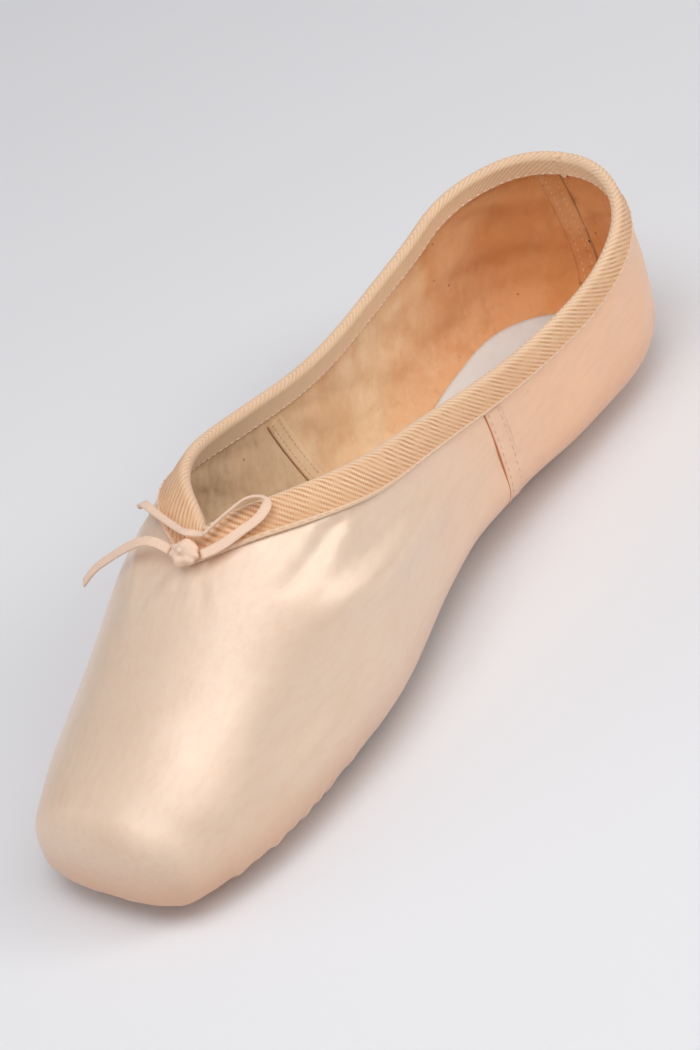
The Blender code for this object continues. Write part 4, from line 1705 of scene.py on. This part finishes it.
@dataclass(frozen=True)
class Stretch:
    """One stretch of the drawstring: its route and the way its flat face looks."""

    name: str
    node: str
    end: FarEnd
    route: tuple[Point, ...]
    face: tuple[Point, ...]


@dataclass
class Drawstring:
    """The bow at the throat: a flat cord in three stretches and the knot between them."""

    finishes: Finishes
    width: float = 0.0024
    thickness: float = 0.0008
    cupped: float = 0.00018
    strand_span: float = 0.0064
    steps: int = 48
    stretches: tuple[Stretch, ...] = (
        Stretch("bow_loop", "drawstring_loop", FarEnd.KNOT, (
            (0.0046, -0.0600, 0.0622), (0.0085, -0.0566, 0.0632), (0.0121, -0.0518, 0.0647),
            (0.0148, -0.0473, 0.0661), (0.0146, -0.0438, 0.0679), (0.0112, -0.0448, 0.0688),
            (0.0082, -0.0486, 0.0680), (0.0060, -0.0521, 0.0667), (0.0033, -0.0563, 0.0650),
        ), (
            (0.3, -0.5, 0.85), (0.4, -0.5, 0.8), (0.5, -0.5, 0.75), (0.6, 0.0, 0.8), (0.2, 0.7, 0.7),
            (-0.3, 0.6, 0.75), (-0.5, 0.4, 0.75), (-0.5, 0.3, 0.8), (-0.4, 0.2, 0.9),
        )),
        Stretch("bow_end", "drawstring_end", FarEnd.BARE, (
            (-0.0042, -0.0605, 0.0623), (-0.0100, -0.0600, 0.0632), (-0.0167, -0.0600, 0.0606),
            (-0.0261, -0.0600, 0.0543), (-0.0325, -0.0601, 0.0494), (-0.0375, -0.0604, 0.0443),
        ), (
            (0.0, -0.5, 0.86), (-0.1, -0.6, 0.8), (-0.3, -0.6, 0.75), (-0.45, -0.6, 0.66),
            (-0.5, -0.6, 0.6), (-0.55, -0.6, 0.55),
        )),
        Stretch("bow_tail", "drawstring_tail", FarEnd.BARE, (
            (-0.0033, -0.0563, 0.0650), (-0.0085, -0.0540, 0.0644), (-0.0145, -0.0513, 0.0637),
            (-0.0205, -0.0478, 0.0619), (-0.0260, -0.0440, 0.0584), (-0.0306, -0.0400, 0.0533),
        ), (
            (-0.2, 0.5, 0.8), (-0.3, 0.5, 0.8), (-0.4, 0.5, 0.7), (-0.5, 0.4, 0.7), (-0.6, 0.4, 0.6),
            (-0.7, 0.4, 0.5),
        )),
    )
    knot_place: Point = (0.0, -0.0605, 0.0622)
    knot_size: Point = (0.0100, 0.0072, 0.0048)
    knot_lean: float = 31.0
    crossing: Stretch = Stretch("bow_cross", "drawstring_knot", FarEnd.KNOT, (
        (-0.0035, -0.0562, 0.0650), (-0.0018, -0.0569, 0.0656), (0.0, -0.0573, 0.0658),
        (0.0018, -0.0569, 0.0656), (0.0035, -0.0561, 0.0650),
    ), (
        (-0.2, 0.5, 0.8), (-0.1, 0.3, 0.9), (0.0, 0.1, 1.0), (-0.2, 0.1, 0.95), (-0.4, 0.2, 0.9),
    ))

    def ribbon(self, stretch: Stretch) -> tuple[np.ndarray, np.ndarray, np.ndarray]:
        """Rounded flat section carried along the route: a superellipse of the cord's two widths.

        Args:
            stretch: the stretch of cord.

        Returns:
            Rings, the path and the distance along it.
        """
        path = smooth_path(stretch.route, self.steps)
        face = smooth_path(stretch.face, self.steps)
        way = unit(np.gradient(path, axis=0))
        side = unit(np.cross(way, face))
        face = unit(np.cross(side, way))
        turn = np.linspace(0, math.tau, 16, endpoint=False)
        wide = np.sign(np.cos(turn)) * np.abs(np.cos(turn)) ** 0.6 * 0.5 * self.width
        tall = np.sign(np.sin(turn)) * np.abs(np.sin(turn)) ** 0.7 * 0.5 * self.thickness
        cup = self.cupped * (np.cos(turn) ** 2 - 0.5)
        rings = path[:, None] + wide[:, None] * side[:, None] + (tall + cup)[:, None] * face[:, None]
        return rings, path, distances(path)

    def knot(self) -> bpy.types.Object:
        """A ball squeezed by the cord: a sphere whose radius swells at a wrap and dips in a hollow.

        Returns:
            The knot.
        """
        turn, tilt = np.meshgrid(np.linspace(0, math.tau, 48, endpoint=False),
                                 np.linspace(0, np.pi, 25)[1:-1], indexing="ij")
        x, y, z = np.sin(tilt) * np.cos(turn), np.sin(tilt) * np.sin(turn), np.cos(tilt)
        wrap = np.exp(-((x - 0.12 * y) / 0.30) ** 2)
        hollow = np.exp(-(((x - 0.05) / 0.22) ** 2 + ((y + 0.45) / 0.20) ** 2)) * smooth(4 * z)
        radius = 0.5 * (0.80 + 0.22 * wrap - 0.48 * hollow + 0.05 * np.sin(9 * y + 2 * x))
        body = np.stack([x, y, z], -1) * radius[..., None] * self.knot_size
        lean = np.array(Matrix.Rotation(math.radians(self.knot_lean), 3, "X"))
        rings = (body @ lean.T + self.knot_place).swapaxes(0, 1)
        return tubes("bow_knot", rings[None], self.finishes.cord, 0.02, np.linspace(0, 0.006, rings.shape[0]))

    def build(self) -> list[bpy.types.Object]:
        """Make the knot, the crossing and the three stretches, and hide the solids that they stand in for.

        Returns:
            All the bow's pieces.
        """
        knot = self.knot()
        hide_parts("drawstring_knot")
        rings, _, run = self.ribbon(self.crossing)
        cross = tubes(self.crossing.name, rings[None], self.finishes.cord, self.strand_span, run)
        made = [knot, cross]
        for piece in made:
            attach(piece, "root")
        for stretch in self.stretches:
            rings, path, run = self.ribbon(stretch)
            piece = tubes(stretch.name, rings[None], self.finishes.cord, self.strand_span, run)
            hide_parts(stretch.node)
            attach(piece, "root")
            made.append(piece)
        return made


# Studio


@dataclass(frozen=True)
class PhotoCamera:
    """The photograph's viewpoint on the shoe, turned to put the one shoe in the middle."""

    eye: Point = (0.42938, -0.45116, 0.48556)
    up: Point = (-0.13678, 0.60428, 0.78494)
    target: Point = (-0.0019, -0.0030, 0.0227)
    lens: float = 106.0

    def build(self) -> bpy.types.Object:
        """Look from the eye to the target with the photograph's roll.

        Returns:
            The camera.
        """
        back = (Vector(self.eye) - Vector(self.target)).normalized()
        right = Vector(self.up).cross(back).normalized()
        turn = Matrix((right, back.cross(right), back)).transposed()
        data = bpy.data.cameras.new("photo_camera")
        data.lens = self.lens
        data.clip_start = 0.05
        data.clip_end = 20
        camera = bpy.data.objects.new("photo_camera", data)
        camera.matrix_world = Matrix.Translation(self.eye) @ turn.to_4x4()
        bpy.context.scene.collection.objects.link(camera)
        bpy.context.scene.camera = camera
        return camera


@dataclass(frozen=True)
class SoftBox:
    """A square area lamp that looks at the shoe."""

    name: str
    place: Point
    size: float
    power: float
    colour: Colour

    def build(self) -> None:
        """Make the lamp."""
        data = bpy.data.lights.new(self.name, "AREA")
        data.size = self.size
        data.energy = self.power
        data.color = self.colour
        lamp = bpy.data.objects.new(self.name, data)
        lamp.location = self.place
        away = Vector(self.place) - Vector((0, 0, 0.02))
        lamp.rotation_euler = away.to_track_quat("Z", "Y").to_euler()
        bpy.context.scene.collection.objects.link(lamp)


@dataclass
class Studio:
    """Pale floor, soft lamps and a light grey surround."""

    floor_size: float = 6.0
    floor_tone: Colour = tint(236, 236, 237)
    surround: float = 0.29
    surround_tone: Colour = (0.93, 0.95, 1.0)
    lamps: tuple[SoftBox, ...] = (
        SoftBox("key_box", (0.17, -0.30, 1.13), 0.75, 6.0, (0.965, 0.96, 1.0)),
        SoftBox("side_box", (0.92, 0.50, 0.70), 0.45, 3.0, (1.0, 0.98, 0.96)),
        SoftBox("fill_box", (0.80, 0.20, 1.02), 0.9, 3.4, (1.0, 0.985, 0.97)),
        SoftBox("left_box", (-1.0, -0.7, 0.6), 0.9, 2.2, (1.0, 0.98, 0.95)),
        SoftBox("front_box", (0.1, -1.2, 0.6), 0.6, 1.6, (1.0, 0.99, 0.98)),
    )

    def build(self) -> None:
        """Set the floor, the lamps and the surround."""
        mesh = bpy.data.meshes.new("studio_floor")
        half = 0.5 * self.floor_size
        corners = [(-half, -half, 0), (half, -half, 0), (half, half, 0), (-half, half, 0)]
        mesh.from_pydata(corners, [], [(0, 1, 2, 3)])
        g = Graph("pale_floor", 0.6, Specular_IOR_Level=0.25)
        darker = tuple(0.985 * c for c in self.floor_tone)
        tone = g.mix(g.noise(g.place(), 3.0, 2, 0.5), self.floor_tone, darker)
        mesh.materials.append(g.wire(Base_Color=tone))
        floor = bpy.data.objects.new("studio_floor", mesh)
        bpy.context.scene.collection.objects.link(floor)
        for lamp in self.lamps:
            lamp.build()
        world = bpy.data.worlds.new("surround")
        world.use_nodes = True
        sky = world.node_tree.nodes["Background"]
        sky.inputs["Color"].default_value = (*self.surround_tone, 1)
        sky.inputs["Strength"].default_value = self.surround
        scene = bpy.context.scene
        scene.world = world
        scene.view_settings.view_transform = "Standard"
        scene.view_settings.look = "None"


def main() -> None:
    """Build every piece in order, ride each on the shoe's one body, and report it."""
    logging.basicConfig(level=logging.INFO, format="%(message)s")
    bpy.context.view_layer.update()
    last = Last()
    finishes = Finishes.make()
    PhotoCamera().build()
    Studio().build()
    stitching = Stitching()
    made = Drawstring(finishes).build()
    upper = Upper(last, finishes).build()
    binding = Binding(last, finishes)
    made += [upper, binding.build()]
    made += Soles(last, finishes).build()
    bands = Bands(last, finishes, stitching)
    made += bands.heel() + bands.sides() + bands.linings()
    for name, edge in binding.edges.items():
        closed = tuple(np.append(line, line[:1], 0) for line in edge)
        made.append(stitching.build(name, [closed], finishes.thread, "twill"))
    for piece in made:
        if "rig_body" not in piece:
            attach(piece, "root")
        log.info("%s: %d faces", piece.name, len(piece.data.polygons))


if __name__ == "__main__":
    main()
